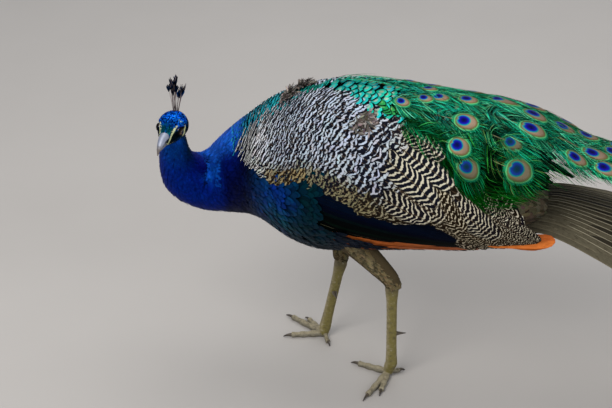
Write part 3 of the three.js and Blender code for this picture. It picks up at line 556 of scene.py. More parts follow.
def ocellus_material(name):
    """rings of an eye feather, from metres along and across the disc in fb over its half size in ColB.r (x 0.1)"""
    m, nt, bs = new_mat(name); g = NT(nt)
    al, ac, ln = g.sep(g.attr("fb"))[:3]
    t, s, r = g.sep(g.attr("fa"))[:3]
    half, gold, dim = g.sep(g.attr("ColB"))[:3]
    k = g.m("DIVIDE", 1.0, g.m("MULTIPLY", half, 0.1))
    u = g.m("MULTIPLY", al, k); v = g.m("MULTIPLY", ac, k)
    nz = g.m("MULTIPLY", g.m("SUBTRACT", g.noise(g.comb(g.m("MULTIPLY", u, 3.0), g.m("MULTIPLY", v, 3.0), g.m("MULTIPLY", r, 30.0)), 1.0, 2.0), 0.5), 0.10)
    d = g.m("SQRT", g.m("ADD", g.m("POWER", g.m("ABSOLUTE", u), 2.0), g.m("POWER", g.m("ABSOLUTE", v), 2.0)))
    d = g.m("ADD", d, nz)
    # pupil sits towards the root, with a notch on that side
    up_ = g.m("ADD", u, 0.20)
    dp = g.m("SQRT", g.m("ADD", g.m("POWER", g.m("ABSOLUTE", up_), 2.0), g.m("POWER", g.m("MULTIPLY", v, 0.93), 2.0)))
    notch = g.m("MULTIPLY", g.smooth(g.m("ABSOLUTE", v), 0.0, 0.14, 1.0, 0.0), g.smooth(up_, -0.42, -0.12, 0.12, 0.0))
    dp = g.m("ADD", g.m("ADD", dp, notch), g.m("MULTIPLY", nz, 0.6))
    rings = g.ramp(d, [(0.0, lin(146, 124, 108)), (0.50, lin(138, 116, 96)), (0.64, lin(112, 92, 62)), (0.70, lin(84, 116, 66)), (0.76, lin(96, 184, 118)), (0.82, lin(16, 120, 84)), (0.90, lin(26, 150, 104)), (1.0, lin(8, 96, 56))])
    pup = g.ramp(dp, [(0.0, lin(6, 6, 50)), (0.16, lin(10, 8, 92)), (0.28, lin(22, 18, 148)), (0.33, lin(20, 40, 150)), (0.37, lin(14, 110, 140)), (0.42, lin(40, 140, 122)), (0.47, lin(120, 116, 96))])
    inside = g.smooth(dp, 0.43, 0.48, 1.0, 0.0)
    col = g.mix(inside, rings, pup)
    rad = g.m("ARCTAN2", v, g.m("ADD", u, 0.35))
    line = g.smooth(g.m("SINE", g.m("ADD", g.m("MULTIPLY", rad, 70.0), g.m("MULTIPLY", nz, 20.0))), -1.0, 1.0, 0.76, 1.08)
    col = g.mix(1.0, col, g.comb(line, line, line), "MULTIPLY")
    col = g.mix(dim, col, tuple(lin(14, 60, 34)))
    nt.links.new(col, bs.inputs["Base Color"])
    bs.inputs["Roughness"].default_value = 0.42; bs.inputs["Metallic"].default_value = 0.45
    bs.inputs["Specular IOR Level"].default_value = 0.06; bs.inputs["Specular Tint"].default_value = (0.06, 0.2, 0.15, 1)
    bs.inputs["Sheen Weight"].default_value = 0.0; bs.inputs["Sheen Tint"].default_value = (0.7, 0.9, 1, 1)
    nt.links.new(g.bump(line, 0.3, 0.0004), bs.inputs["Normal"])
    return m


def scale_material(name):
    """small round back feathers: a tan heart, a green or teal ring and a black fringe"""
    m, nt, bs = new_mat(name); g = NT(nt)
    t, s, r = g.sep(g.attr("fa"))[:3]
    heart, ring = g.attr("Col", "Color"), g.attr("ColB", "Color")
    dt = g.m("DIVIDE", g.m("SUBTRACT", t, 0.66), 0.34)
    d = g.m("SQRT", g.m("ADD", g.m("POWER", g.m("ABSOLUTE", dt), 2.0), g.m("POWER", g.m("ABSOLUTE", s), 2.0)))
    nz = g.m("SUBTRACT", g.noise(g.comb(g.m("MULTIPLY", t, 5.0), g.m("MULTIPLY", s, 5.0), g.m("MULTIPLY", r, 30.0)), 1.0, 2.0), 0.5)
    d = g.m("ADD", d, g.m("MULTIPLY", nz, 0.18))
    col = g.mix(g.smooth(d, 0.26, 0.50), heart, ring)
    col = g.mix(g.smooth(d, 0.84, 0.96), col, tuple(lin(3, 18, 22)))
    ph = g.m("MULTIPLY", g.m("SUBTRACT", t, g.m("MULTIPLY", g.m("ABSOLUTE", s), 0.5)), 60.0)
    line = g.smooth(g.m("SINE", ph), -1.0, 1.0, 0.78, 1.08)
    sh = g.m("MULTIPLY", line, g.smooth(t, 0.1, 0.5, 0.35, 1.0))
    col = g.mix(1.0, col, g.comb(sh, sh, sh), "MULTIPLY")
    nt.links.new(col, bs.inputs["Base Color"])
    bs.inputs["Roughness"].default_value = 0.42; bs.inputs["Metallic"].default_value = 0.65
    bs.inputs["Specular IOR Level"].default_value = 0.06; bs.inputs["Specular Tint"].default_value = (0.04, 0.2, 0.18, 1)
    nt.links.new(g.bump(line, 0.25, 0.0004), bs.inputs["Normal"])
    return m


def quill_material(name, rough=0.5, metal=0.0, freckle=0.0, pale_edge=0.0):
    """long flight and tail feathers: Col on the outer vane, ColB on the inner, shaft line, barb lines"""
    m, nt, bs = new_mat(name); g = NT(nt)
    t, s, r = g.sep(g.attr("fa"))[:3]
    al, ac, ln = g.sep(g.attr("fb"))[:3]
    c, cb = g.attr("Col", "Color"), g.attr("ColB", "Color")
    aac = g.m("ABSOLUTE", ac)
    col = g.mix(g.smooth(ac, -0.0015, 0.0015), c, cb)
    nz = g.noise(g.comb(g.m("MULTIPLY", al, 90.0), g.m("MULTIPLY", ac, 240.0), g.m("MULTIPLY", r, 41.0)), 1.0, 3.0)
    if freckle:
        col = g.mix(g.smooth(nz, 0.52, 0.62, 0.0, freckle), col, tuple(lin(46, 38, 30)))
    ph = g.m("ADD", al, g.m("MULTIPLY", aac, -1.6))
    line = g.smooth(g.m("SINE", g.m("ADD", g.m("MULTIPLY", ph, 4200.0), g.m("MULTIPLY", nz, 6.0))), -1.0, 1.0, 0.82, 1.06)
    sh = g.m("MULTIPLY", line, g.smooth(nz, 0.3, 0.7, 0.8, 1.12))
    col = g.mix(1.0, col, g.comb(sh, sh, sh), "MULTIPLY")
    if pale_edge:
        col = g.mix(g.smooth(g.m("ABSOLUTE", s), 0.86, 1.0, 0.0, pale_edge), col, tuple(lin(150, 138, 112)))
    nt.links.new(col, bs.inputs["Base Color"])
    bs.inputs["Roughness"].default_value = rough; bs.inputs["Metallic"].default_value = metal
    bs.inputs["Specular IOR Level"].default_value = 0.06; bs.inputs["Specular Tint"].default_value = (0.1, 0.1, 0.12, 1)
    nt.links.new(g.bump(line, 0.3, 0.0004), bs.inputs["Normal"])
    return m


# ------------------------------------------------------------------ camera, light and floor
scene = bpy.context.scene
cam = bpy.data.cameras.new("camera"); cam.lens = 84.706; cam.sensor_width = 36; cam.sensor_fit = "HORIZONTAL"; cam.clip_start = 0.05
co = bpy.data.objects.new("camera", cam); scene.collection.objects.link(co)
AZ, EL = 10 * D2R, 30 * D2R
back = Vector((math.sin(AZ) * math.cos(EL), -math.cos(AZ) * math.cos(EL), math.sin(EL)))
co.location = Vector((0.2487, -1.8798, 1.375)) + Vector([float(v) for v in SH])
co.rotation_euler = back.to_track_quat("Z", "Y").to_euler()
scene.camera = co
scene.view_settings.view_transform = "Standard"


def area(name, loc, target, size, power, colour=(1, 1, 1)):
    l = bpy.data.lights.new(name, "AREA"); l.energy = power; l.size = size; l.color = colour
    o = bpy.data.objects.new(name, l); o.location = loc
    o.rotation_euler = (Vector(target) - Vector(loc)).to_track_quat("-Z", "Y").to_euler()
    scene.collection.objects.link(o)


area("key", (-1.1, -1.9, 2.7), (0, 0, 0.3), 1.6, 62, (1, 0.985, 0.96))
area("fill", (1.9, -1.6, 1.7), (0, 0, 0.3), 2.0, 20, (0.93, 0.96, 1))
area("top", (0.2, 0.9, 2.8), (0, 0, 0.3), 2.2, 34, (1, 1, 1))
w = bpy.data.worlds.new("world"); w.use_nodes = True; scene.world = w
w.node_tree.nodes["Background"].inputs[0].default_value = (0.86, 0.90, 0.96, 1)
w.node_tree.nodes["Background"].inputs[1].default_value = 0.55
fm, fnt, fbs = new_mat("floor"); fg = NT(fnt)
nz = fg.noise(fg.pos(), 3.0, 3.0)
fnt.links.new(fg.mix(nz, tuple(lin(170, 165, 160)), tuple(lin(177, 172, 167))), fbs.inputs["Base Color"]); fbs.inputs["Roughness"].default_value = 0.9
fl = mesh_object("floor", np.array([[-6, -6, 0], [6, -6, 0], [6, 9, 0], [-6, 9, 0]], float), np.array([[0, 1, 2, 3]]), smooth=False)
fl.data.materials.append(fm)


# ------------------------------------------------------------------ skin
SKULL = [(-24, 4, 6, -7), (-21, 10, 11, -13), (-15, 16.5, 17, -17.5), (-6, 20.8, 20.8, -19), (3, 21.8, 21.2, -18), (11, 20.6, 19, -16.8), (18, 17, 15, -15.5), (24, 13, 11.2, -14), (29, 10.2, 9, -12.4), (34, 8, 6, -10.4)]
SKIN_PARTS = []     # (V, F tris, Col, part id)


def add_skin(V, F, col, part):
    SKIN_PARTS.append((np.asarray(V, float).reshape(-1, 3), np.asarray(F, int).reshape(-1, 3), np.broadcast_to(np.asarray(col, float), (len(np.asarray(V).reshape(-1, 3)), 3)), part))


def tube_faces(R, C):
    f = []
    for i in range(R - 1):
        for j in range(C):
            a, b = i * C + j, i * C + (j + 1) % C
            f += [(a, b, b + C), (a, b + C, a + C)]
    n = R * C
    for j in range(C):
        f.append((n, (j + 1) % C, j)); f.append((n + 1, (R - 1) * C + j, (R - 1) * C + (j + 1) % C))
    return np.array(f)


def ring_tube(rings, e0, e1):
    """rings (R,C,3) in metres"""
    R, C = rings.shape[:2]
    V = np.concatenate([rings.reshape(-1, 3), [e0, e1]]); F = tube_faces(R, C)
    vol = (V[F[:, 0]] * np.cross(V[F[:, 1]], V[F[:, 2]])).sum()
    # about its own middle, so the sign is right
    m = V.mean(0); vol = ((V[F[:, 0]] - m) * np.cross(V[F[:, 1]] - m, V[F[:, 2]] - m)).sum()
    return V, (F if vol > 0 else F[:, ::-1])


def seg_dist(p, poly):
    """distance from points (...,2) to an open polyline and the place along it 0..1"""
    poly = np.array(poly, float); best = np.full(p.shape[:-1], 1e9); where = np.zeros(p.shape[:-1])
    for i in range(len(poly) - 1):
        a, b = poly[i], poly[i + 1]; ab = b - a
        t = np.clip(((p - a) * ab).sum(-1) / (ab @ ab), 0, 1)
        d = np.linalg.norm(p - (a + t[..., None] * ab), axis=-1)
        m = d < best; best = np.where(m, d, best); where = np.where(m, (i + t) / (len(poly) - 1), where)
    return best, where


BROW = [(35, -6), (31.9, -1.8), (26.7, 3.6), (20.5, 8.4), (16, 11.2), (12.3, 12.8)]
SPOT = np.array([5.6, 15.0])
CHEEK = [(0.4, 9.5), (2.9, 6.0), (5.2, 2.2), (7.2, -1.8), (8.9, -5.6), (11.3, -9.1), (15.5, -12.4)]
GAPE = [(23, -9.0), (27.5, -8.2), (31.5, -7.9), (35, -9.0)]
LORE = [(32, -4.0), (26, -0.5), (20, 2.6), (12, 3.6), (7, 3.6)]


def bare_skin(f, l, u):
    """how far a place on the head is on the two white patches, 0..1"""
    p = np.stack([f, u], -1)
    d1, t1 = seg_dist(p, BROW); w1 = 0.72 + 0.22 * np.sin(t1 * math.pi) - 0.2 * sstep(0.7, 1, t1)
    d2, t2 = seg_dist(p, CHEEK); w2 = 0.75 + 1.25 * np.exp(-((t2 - 0.54) / 0.28) ** 2)
    d3, t3 = seg_dist(p, GAPE); w3 = 0.55 + 0 * d3
    ok = np.abs(l) > 3
    return np.where(ok, np.maximum(np.maximum(1 - sstep(w1 - 0.35, w1 + 0.35, d1), 1 - sstep(w2 - 0.4, w2 + 0.4, d2)), 0.6 * (1 - sstep(w3 - 0.3, w3 + 0.3, d3))), 0)


def head_colour(f, l, u):
    """plumage colour of the head at head-frame millimetres"""
    f, l, u = np.broadcast_arrays(f, l, u)
    crown = sstep(3, 12, u + 0.12 * f)
    n = wob(f * 0.5, u * 0.45 + l * 0.4, 1.0); n3 = wob(f * 1.1 + 3, l * 1.0 + u * 0.9, 2.0)
    c = mixc(lin(3, 44, 74), mixc(lin(4, 62, 170), lin(8, 96, 214), 0.5 + 0.5 * n), crown)
    c = mixc(c, lin(24, 128, 244), crown * 0.6 * sstep(0.1, -0.7, n3)); c = mixc(c, lin(0, 8, 30), crown * 0.92 * sstep(0.05, 0.55, n3))
    fore = sstep(15, 22, f) * sstep(3, 8, u)
    c = mixc(c, lin(8, 96, 104), fore * (0.95 - 0.6 * np.exp(-(l / 1.6) ** 2)))
    p = np.stack([f, u], -1); d, _ = seg_dist(p, LORE); sd = np.abs(l) > 3
    c = mixc(c, lin(5, 22, 28), (1 - sstep(3.6, 6.4, d)) * sd)
    e_ = np.sqrt((f - EYE_AT[0]) ** 2 + (u - EYE_AT[2]) ** 2)
    c = mixc(c, lin(30, 18, 14), (1 - sstep(6.2, 8.2, e_)) * sd)
    c = mixc(c, lin(5, 52, 52), sstep(-8, -13, u) * sstep(4, 12, f) * 0.9)
    c = mixc(c, lin(130, 168, 160), (1 - sstep(1.3, 2.2, np.sqrt((f - SPOT[0]) ** 2 + (u - SPOT[1]) ** 2))) * sd * (l > 3) * 0.9)
    c = mixc(c, lin(2, 28, 36), sstep(3, -5, f) * sstep(12, 4, u) * 0.92)
    return c


def skull_grid(nf, na, inset=0.0, f0=-24.0, f1=34.0):
    tab = np.array(SKULL, float)
    f = np.linspace(f0, f1, nf)
    k = np.interp(f, tab[:, 0], np.arange(len(tab)))
    v = cr(tab, k)
    a = np.arange(na) / na * 2 * math.pi
    hw, t, b = v[:, 1] - inset, v[:, 2] - inset, v[:, 3] + inset
    l = hw[:, None] * np.cos(a)[None]; u = ((t + b) / 2)[:, None] + ((t - b) / 2)[:, None] * np.sin(a)[None]
    return np.broadcast_to(f[:, None], l.shape).copy(), l, u


# head: the loft of the skull with sockets, brows, bare patches and wrinkles pressed in or raised
f, l, u = skull_grid(110, 112, 1.4)
side_ = np.sign(l)
bare = bare_skin(f, l, u)
eyed = np.sqrt((f - EYE_AT[0]) ** 2 + (u - EYE_AT[2]) ** 2)
on_side = sstep(8, 13, np.abs(l))
push = np.zeros_like(f)
push += -2.6 * np.exp(-(eyed / 6.4) ** 4) * on_side                       # socket
push += 1.0 * np.exp(-(((eyed - 8.6) / 2.2) ** 2)) * on_side * sstep(1, 7, u)   # brow rim
push += 0.75 * bare * (1 + 0.35 * np.sin(f * 3.1 + u * 2.2) * np.sin(u * 3.7 - f))
dl, _ = seg_dist(np.stack([f, u], -1), LORE)
push += -0.5 * np.exp(-(dl / 2.4) ** 2) * on_side * (eyed > 6)
push += 0.12 * np.sin(f * 4.3 + l * 2) * np.sin(l * 3.9 + u * 3)
nrm = np.stack([np.zeros_like(l), l, u - 0.5], -1); nrm = unit(nrm)
l2, u2 = l + nrm[..., 1] * push, u + nrm[..., 2] * push
rings = head(f, l2, u2)
colh = mixc(head_colour(f, l, u) * 0.75, lin(196, 200, 150), bare * 0.92)
colh = mixc(colh, lin(10, 9, 8), (1 - sstep(6.0, 8.4, eyed)) * on_side * (1 - bare))
V, F = ring_tube(rings, head(-24.8, 0, -0.5), head(34.5, 0, -2.0))
add_skin(V, F, np.concatenate([colh.reshape(-1, 3), colh[0, :1], colh[-1, :1]]), 0)

# eyelids: a raised almond rim round each eye
for sgn in (1, -1):
    C_ = np.array([EYE_AT[0], sgn * EYE_AT[1], EYE_AT[2]])
    axis = unit(np.array([0.16, sgn * 1.0, 0.06])); e1 = unit(np.cross(axis, [0, 0, 1.0])) * -sgn; e2 = np.cross(axis, e1) * sgn
    e2 = e2 * np.sign(e2[2])
    nphi, nth = 56, 9
    phi = np.arange(nphi) / nphi * 2 * math.pi
    th0 = (40 - 9.0 * np.abs(np.sin(phi)) + 3 * np.cos(phi) ** 8) * D2R
    rings = []
    for k in range(nth):       # outside of the lid from the rim outwards, then back inside
        kk = k / (nth - 1)
        if k < 6:
            th = th0 + (k / 5) ** 1.2 * 0.72; rr = 6.32 + 0.62 * math.sin(min(1, (k + 0.35) / 2.2) * math.pi / 2) - 0.75 * (k / 5) ** 2 + 0.09 * (k in (2, 4))
        else:
            th = th0 + (8 - k) / 3 * 0.62 + 0.02; rr = 6.26 - 0.05 * (k == 6)
        d = np.cos(th)[:, None] * axis + np.sin(th)[:, None] * (np.cos(phi)[:, None] * e1 + np.sin(phi)[:, None] * e2)
        rings.append(C_ + d * (rr if np.isscalar(rr) else rr))
    G = np.stack(rings)         # (nth, nphi, 3), closed both ways
    Vh = head(G[..., 0], G[..., 1], G[..., 2]).reshape(-1, 3)
    Fq = []
    for i in range(nth):
        for j in range(nphi):
            a0, a1, b0, b1 = i * nphi + j, i * nphi + (j + 1) % nphi, ((i + 1) % nth) * nphi + j, ((i + 1) % nth) * nphi + (j + 1) % nphi
            Fq += [(a0, a1, b1), (a0, b1, b0)]
    Fq = np.array(Fq)
    m_ = Vh[:nphi].mean(0)
    # turn the faces outwards: the outermost ring of the lid must look along the axis
    fn = np.cross(Vh[Fq[:, 1]] - Vh[Fq[:, 0]], Vh[Fq[:, 2]] - Vh[Fq[:, 0]])
    ax_w = HF * axis[0] + HL * axis[1] + HU * axis[2]
    if (fn[:nphi * 4] @ ax_w).sum() < 0:
        Fq = Fq[:, ::-1]
    lidc = mixc(np.broadcast_to(lin(12, 12, 12), (len(Vh), 3)), lin(64, 50, 38), np.repeat((np.arange(nth) < 2) * 0.8, nphi))
    add_skin(Vh, Fq, lidc, 0)

# neck and trunk: the plumage surface drawn in by the depth of the coat
nq, na = 120, 72
qq = np.interp(np.linspace(CORE.arc[0], CORE.arc[-1], nq), CORE.arc, CORE.qs)
aa = np.arange(na) / na * 2 * math.pi
QQ, AA = np.meshgrid(qq, aa, indexing="ij")
P, Nn, _, _ = CORE.full(QQ, AA)
depth = np.interp(qq, [0, 2, 6, 10, 13, 21, 22, CORE.n - 1], [0.0022, 0.0035, 0.005, 0.009, 0.013, 0.013, 0.012, 0.006])
rings = P - Nn * depth[:, None, None]


def body_colour(S, q, a):
    """plumage colour at a place on the body, with painted sheen, painted highlight and painted shade on the neck, for
    the skin and for the small feathers
    """
    q, a = np.broadcast_arrays(np.asarray(q, float), np.asarray(a, float))
    x = S.x_of(q); a = (a + math.pi) % (2 * math.pi) - math.pi
    ang = 90 - np.abs(a) / D2R
    z = S.pos(np.ravel(q), np.ravel(a))[:, 2].reshape(q.shape)
    on_neck = (q < 9.6) if S is CORE else np.zeros(q.shape, bool)
    n = wob(q * 3.1, a * 2.7, 1.0)
    # neck: cobalt, darker below and on the throat, with a painted light blue sheen on the upper side, a painted
    # highlight stripe down the fold of the neck and a patch of painted shade on its side
    ad = np.abs(a) / D2R
    cn = mixc(lin(3, 24, 116), lin(2, 37, 130), 0.5 - 0.5 * np.cos(a) + 0.25 * n)
    # painted sheen: the upper side of the mid neck lighter blue
    cn = mixc(cn, lin(24, 112, 236), sstep(3.8, 6.4, q) * (1 - sstep(16, 52, ad)))
    cn = mixc(cn, lin(0, 1, 34), sstep(7.4, 9.4, q) * sstep(40, 84, ad) * 0.85)
    # painted highlight: a bright blue stripe down the fold where the neck bends
    cn = mixc(cn, lin(24, 118, 255), np.exp(-((q - np.clip(7.6 - (ad - 20) * 0.033, 5.4, 8.6)) / 0.85) ** 2) * (1 - sstep(80, 108, ad)) * sstep(8, 26, ad) * 0.98)
    cn = mixc(cn, lin(8, 66, 148), (1 - sstep(0.6, 3.4, q)) * 0.85)
    # painted shade: a dark navy patch on the side of the mid neck
    cn = mixc(cn, lin(0, 3, 78), np.exp(-((q - 4.7) / 1.5) ** 2) * np.exp(-((ad - 72) / 36) ** 2) * 0.92)
    cn = mixc(cn, lin(2, 20, 84), sstep(9.0, 10.2, q) * sstep(38, 78, ad) * 0.6)
    cn = mixc(cn, lin(2, 30, 34), (1 - sstep(1.8, 4.0, q)) * np.exp(-((np.degrees(a) - 66) / 44) ** 2) * 0.92)
    # breast and belly
    cb = mixc(lin(0, 4, 40), lin(6, 54, 96), sstep(-184, -146, x)); cb = mixc(cb, lin(10, 66, 150), sstep(30, 52, ang) * (1 - sstep(-150, -120, x)) * 0.9)
    cb = mixc(cb, lin(9, 78, 96), sstep(-160, -120, x))
    cb = mixc(cb, lin(2, 36, 104), 0.75 * sstep(0.05, 0.75, wob(x * 0.045, ang * 0.05, 3.0)))
    cb = mixc(cb, lin(3, 36, 150), 0.75 * np.exp(-((x + 112) / 34) ** 2) * np.exp(-((ang + 2) / 15) ** 2))
    cb = mixc(cb, lin(2, 38, 50), sstep(-125, -80, x)); cb = mixc(cb, lin(1, 16, 36), sstep(-70, -20, x))
    cb = mixc(cb, lin(4, 14, 26), sstep(0, 50, x)); cb = mixc(cb, lin(26, 22, 20), sstep(100, 180, x))
    top = mixc(lin(10, 84, 118), lin(18, 118, 112), sstep(-190, -120, x))
    c = mixc(cb, top, sstep(48, 66, ang) * sstep(-205, -185, x))
    c = mixc(c, lin(104, 95, 76), sstep(196, 216, x))
    m = sstep(9.2 + 0.9 * n, 12.0 + 0.9 * n, q) if S is CORE else np.ones(q.shape)
    return mixc(cn, c, m)


cc = body_colour(CORE, QQ, AA) * 0.5
V, F = ring_tube(rings, rings[0].mean(0), rings[-1].mean(0) + np.array([0.004, 0, 0]))
add_skin(V, F, np.concatenate([cc.reshape(-1, 3), cc[0, :1], cc[-1, :1]]), 1)

# legs
LEGS = {
    "left": dict(thigh=[(-30, -56, 282, 34, 30), (-4, -57, 254, 29, 26), (18, -56, 229, 24, 22), (41, -53, 203, 19, 18), (55, -51, 186, 15.5, 14.5), (60, -50, 175, 13, 12)],
                 hock=(59, -50, 168), ankle=(62, -48.5, 27), knuckle=(57, -43.5, 7), spur=(0.93, 0.36, -0.1), spur_at=0.6, toes=[(163, 51, 14), (249, 66, 16), (264, 47, 13), (32, 19, 10)]),
    "right": dict(thigh=[(-46, 56, 272, 33, 30), (-40, 54, 240, 27, 25), (-36, 46, 206, 19.5, 19), (-34, 40, 180, 15, 14.5), (-33, 36.5, 162, 12.5, 12), (-33, 36, 158, 11, 11)],
                  hock=(-33, 36, 150), ankle=(-57.5, 43.5, 24), knuckle=(-60, 43, 7), spur=(0.34, -0.94, 0), spur_at=0.45, toes=[(193, 53, 14), (147, 70, 16), (131, 47, 13), (-64, 22, 10)]),
}


def path_tube(rows, n, m, bumpfn=None, hint=(-1, 0, 0.05)):
    """rows of (x, y, z, dorsal radius, side radius) mm; m rings of n; bumpfn(s mm along, angle) gives mm outwards"""
    tab = np.array(rows, float)
    seg = np.linalg.norm(np.diff(tab[:, :3], axis=0), axis=1); arc = np.concatenate([[0], np.cumsum(seg)])
    s = np.linspace(0, arc[-1], m); k = np.interp(s, arc, np.arange(len(tab)))
    v = cr(tab, k); T = unit(np.gradient(v[:, :3], axis=0))
    D = np.array(hint, float) - T * (T @ np.array(hint, float))[:, None]; D = unit(D); L = unit(np.cross(D, T))
    a = np.arange(n) / n * 2 * math.pi
    b = bumpfn(s[:, None], a[None]) if bumpfn else np.zeros((m, n))
    b = b * np.minimum(1, np.minimum(np.arange(m), np.arange(m)[::-1]) / 2)[:, None]
    r = v[:, :3][:, None] + D[:, None] * (np.cos(a)[None] * (v[:, 3:4] + b))[..., None] + L[:, None] * (np.sin(a)[None] * (v[:, 4:5] + b))[..., None]
    e0 = v[0, :3] - T[0] * min(v[0, 3], v[0, 4]) * 0.5; e1 = v[-1, :3] + T[-1] * min(v[-1, 3], v[-1, 4]) * 0.5
    return W3(r), W3(e0), W3(e1), s, a


def scutes(s, a):
    """overlapping plates down the front of the shank, small scales behind"""
    front = sstep(0.2, 0.65, np.cos(a))
    ph = (s / 6.4 + 0.5 * (np.sin(a) > 0)) % 1
    plate = 0.42 * (1 - ph) ** 0.7 * sstep(0, 0.10, ph) - 0.32 * np.exp(-((np.abs(np.sin(a)) * np.sign(np.cos(a)) - 0.02) / 0.07) ** 2) * (np.cos(a) > 0)
    sm = 0.16 * np.abs(np.sin(s * 0.95 + a * 3)) * np.abs(np.sin(a * 7 - s * 0.35))
    return (front * plate + (1 - front) * sm).astype(float)


def toe_scutes(period):
    def fn(s, a):
        topc = sstep(0.1, 0.6, np.cos(a))
        ph = (s / period) % 1
        under = 0.30 * np.abs(np.sin(s * 1.1)) * sstep(-0.2, -0.9, np.cos(a)) * 0.6
        return topc * 0.42 * (1 - ph) ** 0.7 * sstep(0, 0.14, ph) + under + 0.08 * np.sin(a * 9 + s)
    return fn


def leg_colour(s, a, base=(116, 106, 54)):
    s, a = np.broadcast_arrays(s, a)
    n = wob(s * 0.21, a * 1.6, 2.0); n2 = wob(s * 0.9, a * 3.2, 5.0)
    c = mixc(lin(*base), lin(158, 146, 116), sstep(0.1, 0.9, np.cos(a)) * 0.6 + 0.2 * n)
    c = mixc(c, lin(84, 76, 54), sstep(0.1, 0.9, n2) * 0.4)
    return c


for name, L in LEGS.items():
    hk, an, kn = (np.array(L[k], float) for k in ("hock", "ankle", "knuckle"))
    lerp = lambda t: hk + (an - hk) * t
    th = [(x, y, z, r1 - 5.0 * min(1, max(0, (z - 165) / 60)), r2 - 5.0 * min(1, max(0, (z - 165) / 60))) for x, y, z, r1, r2 in L["thigh"]]
    R_, e0, e1, s, a = path_tube(th, 28, 30, None, (-1, 0, 0.3))
    V, F = ring_tube(R_, e0, e1)
    tc = np.broadcast_to(lin(92, 80, 58) * 0.7, (len(V), 3)); add_skin(V, F, tc, 2)
    k5 = L["thigh"][5]
    rows = [(*k5[:3], 9.3, 8.3), (*hk, 10.3, 9.0), (*lerp(0.09), 9.4, 7.6), (*lerp(0.2), 8.1, 6.2), (*lerp(0.5), 7.8, 6.0), (*lerp(0.82), 8.1, 6.2), (*lerp(0.95), 8.8, 7.6), (*an, 9.2, 8.2),
            (*((an + kn) / 2 + [0, 0, 1]), 9.0, 8.8), (*kn, 7.4, 8.3)]
    R_, e0, e1, s, a = path_tube(rows, 44, 190, scutes)
    V, F = ring_tube(R_, e0, e1); cl = leg_colour(s[:, None], a[None])
    cl = mixc(cl, lin(84, 74, 56), (1 - sstep(4, 26, s))[:, None] * np.ones((1, len(a))) * 0.6)
    add_skin(V, F, np.concatenate([cl.reshape(-1, 3), cl[0, :1], cl[-1, :1]]), 3)
    for k, (dg, ln, cw) in enumerate(L["toes"]):
        d = np.array([math.cos(dg * D2R), math.sin(dg * D2R), 0]); hx = k == 3
        z0, z1 = (11, 3.3) if hx else (kn[2] - 1.2, 4.2)
        j = 1 if hx else 3; m = j * 6; rows = []
        for i in range(m + 1):
            t = i / m; knob = math.cos(t * j * 2 * math.pi)
            r = (4.4 if hx else 5.9) - (0.8 if hx else 1.5) * t + 0.5 * knob - 0.25
            z = z0 + (z1 - z0) * min(1, t * 1.7)
            rows.append((kn[0] + d[0] * ln * t, kn[1] + d[1] * ln * t, z, r, r * 0.98))
        R_, e0, e1, s, a = path_tube(rows, 26, int(ln * 1.5), toe_scutes(3.4), (0, 0, 1))
        R_[..., 2] = np.maximum(R_[..., 2], 0.0); e0[2] = max(e0[2], 0.0004); e1[2] = max(e1[2], 0.0004)
        V, F = ring_tube(R_, e0, e1); cl = leg_colour(s[:, None], a[None], (120, 114, 98))
        add_skin(V, F, np.concatenate([cl.reshape(-1, 3), cl[0, :1], cl[-1, :1]]), 4)


def tri_object(name, V, F):
    return mesh_object(name, V, F)


def skin_materials():
    m, nt, bs = new_mat("bird_skin"); g = NT(nt)
    c = g.attr("Col", "Color")
    n1 = g.noise(g.pos(), 900.0, 3.0); n2 = g.noise(g.pos(), 120.0, 3.0)
    sh = g.smooth(n1, 0.3, 0.7, 0.82, 1.08)
    col = g.mix(1.0, c, g.comb(sh, sh, sh), "MULTIPLY")
    col = g.mix(g.smooth(n2, 0.5, 0.75, 0.0, 0.25), col, tuple(lin(30, 25, 22)))
    nt.links.new(col, bs.inputs["Base Color"])
    bs.inputs["Roughness"].default_value = 0.75; bs.inputs["Subsurface Weight"].default_value = 0.0
    bs.inputs["Specular IOR Level"].default_value = 0.06; bs.inputs["Specular Tint"].default_value = (0.2, 0.2, 0.2, 1)
    nt.links.new(g.bump(g.m("ADD", n1, g.m("MULTIPLY", n2, 2.0)), 0.35, 0.0006), bs.inputs["Normal"])
    m2, nt, bs = new_mat("leg_scales_skin"); g = NT(nt)
    c = g.attr("Col", "Color")
    n1 = g.noise(g.pos(), 700.0, 3.0); n2 = g.noise(g.pos(), 160.0, 4.0)
    sh = g.smooth(n1, 0.3, 0.7, 0.78, 1.1)
    col = g.mix(1.0, c, g.comb(sh, sh, sh), "MULTIPLY")
    col = g.mix(g.smooth(n2, 0.52, 0.7, 0.0, 0.5), col, tuple(lin(66, 60, 46)))
    col = g.mix(g.smooth(n2, 0.30, 0.42, 0.35, 0.0), col, tuple(lin(168, 160, 140)))
    nt.links.new(col, bs.inputs["Base Color"])
    bs.inputs["Roughness"].default_value = 0.58; bs.inputs["Specular IOR Level"].default_value = 0.35
    nt.links.new(g.bump(g.m("ADD", n1, n2), 0.4, 0.0006), bs.inputs["Normal"])
    return m, m2


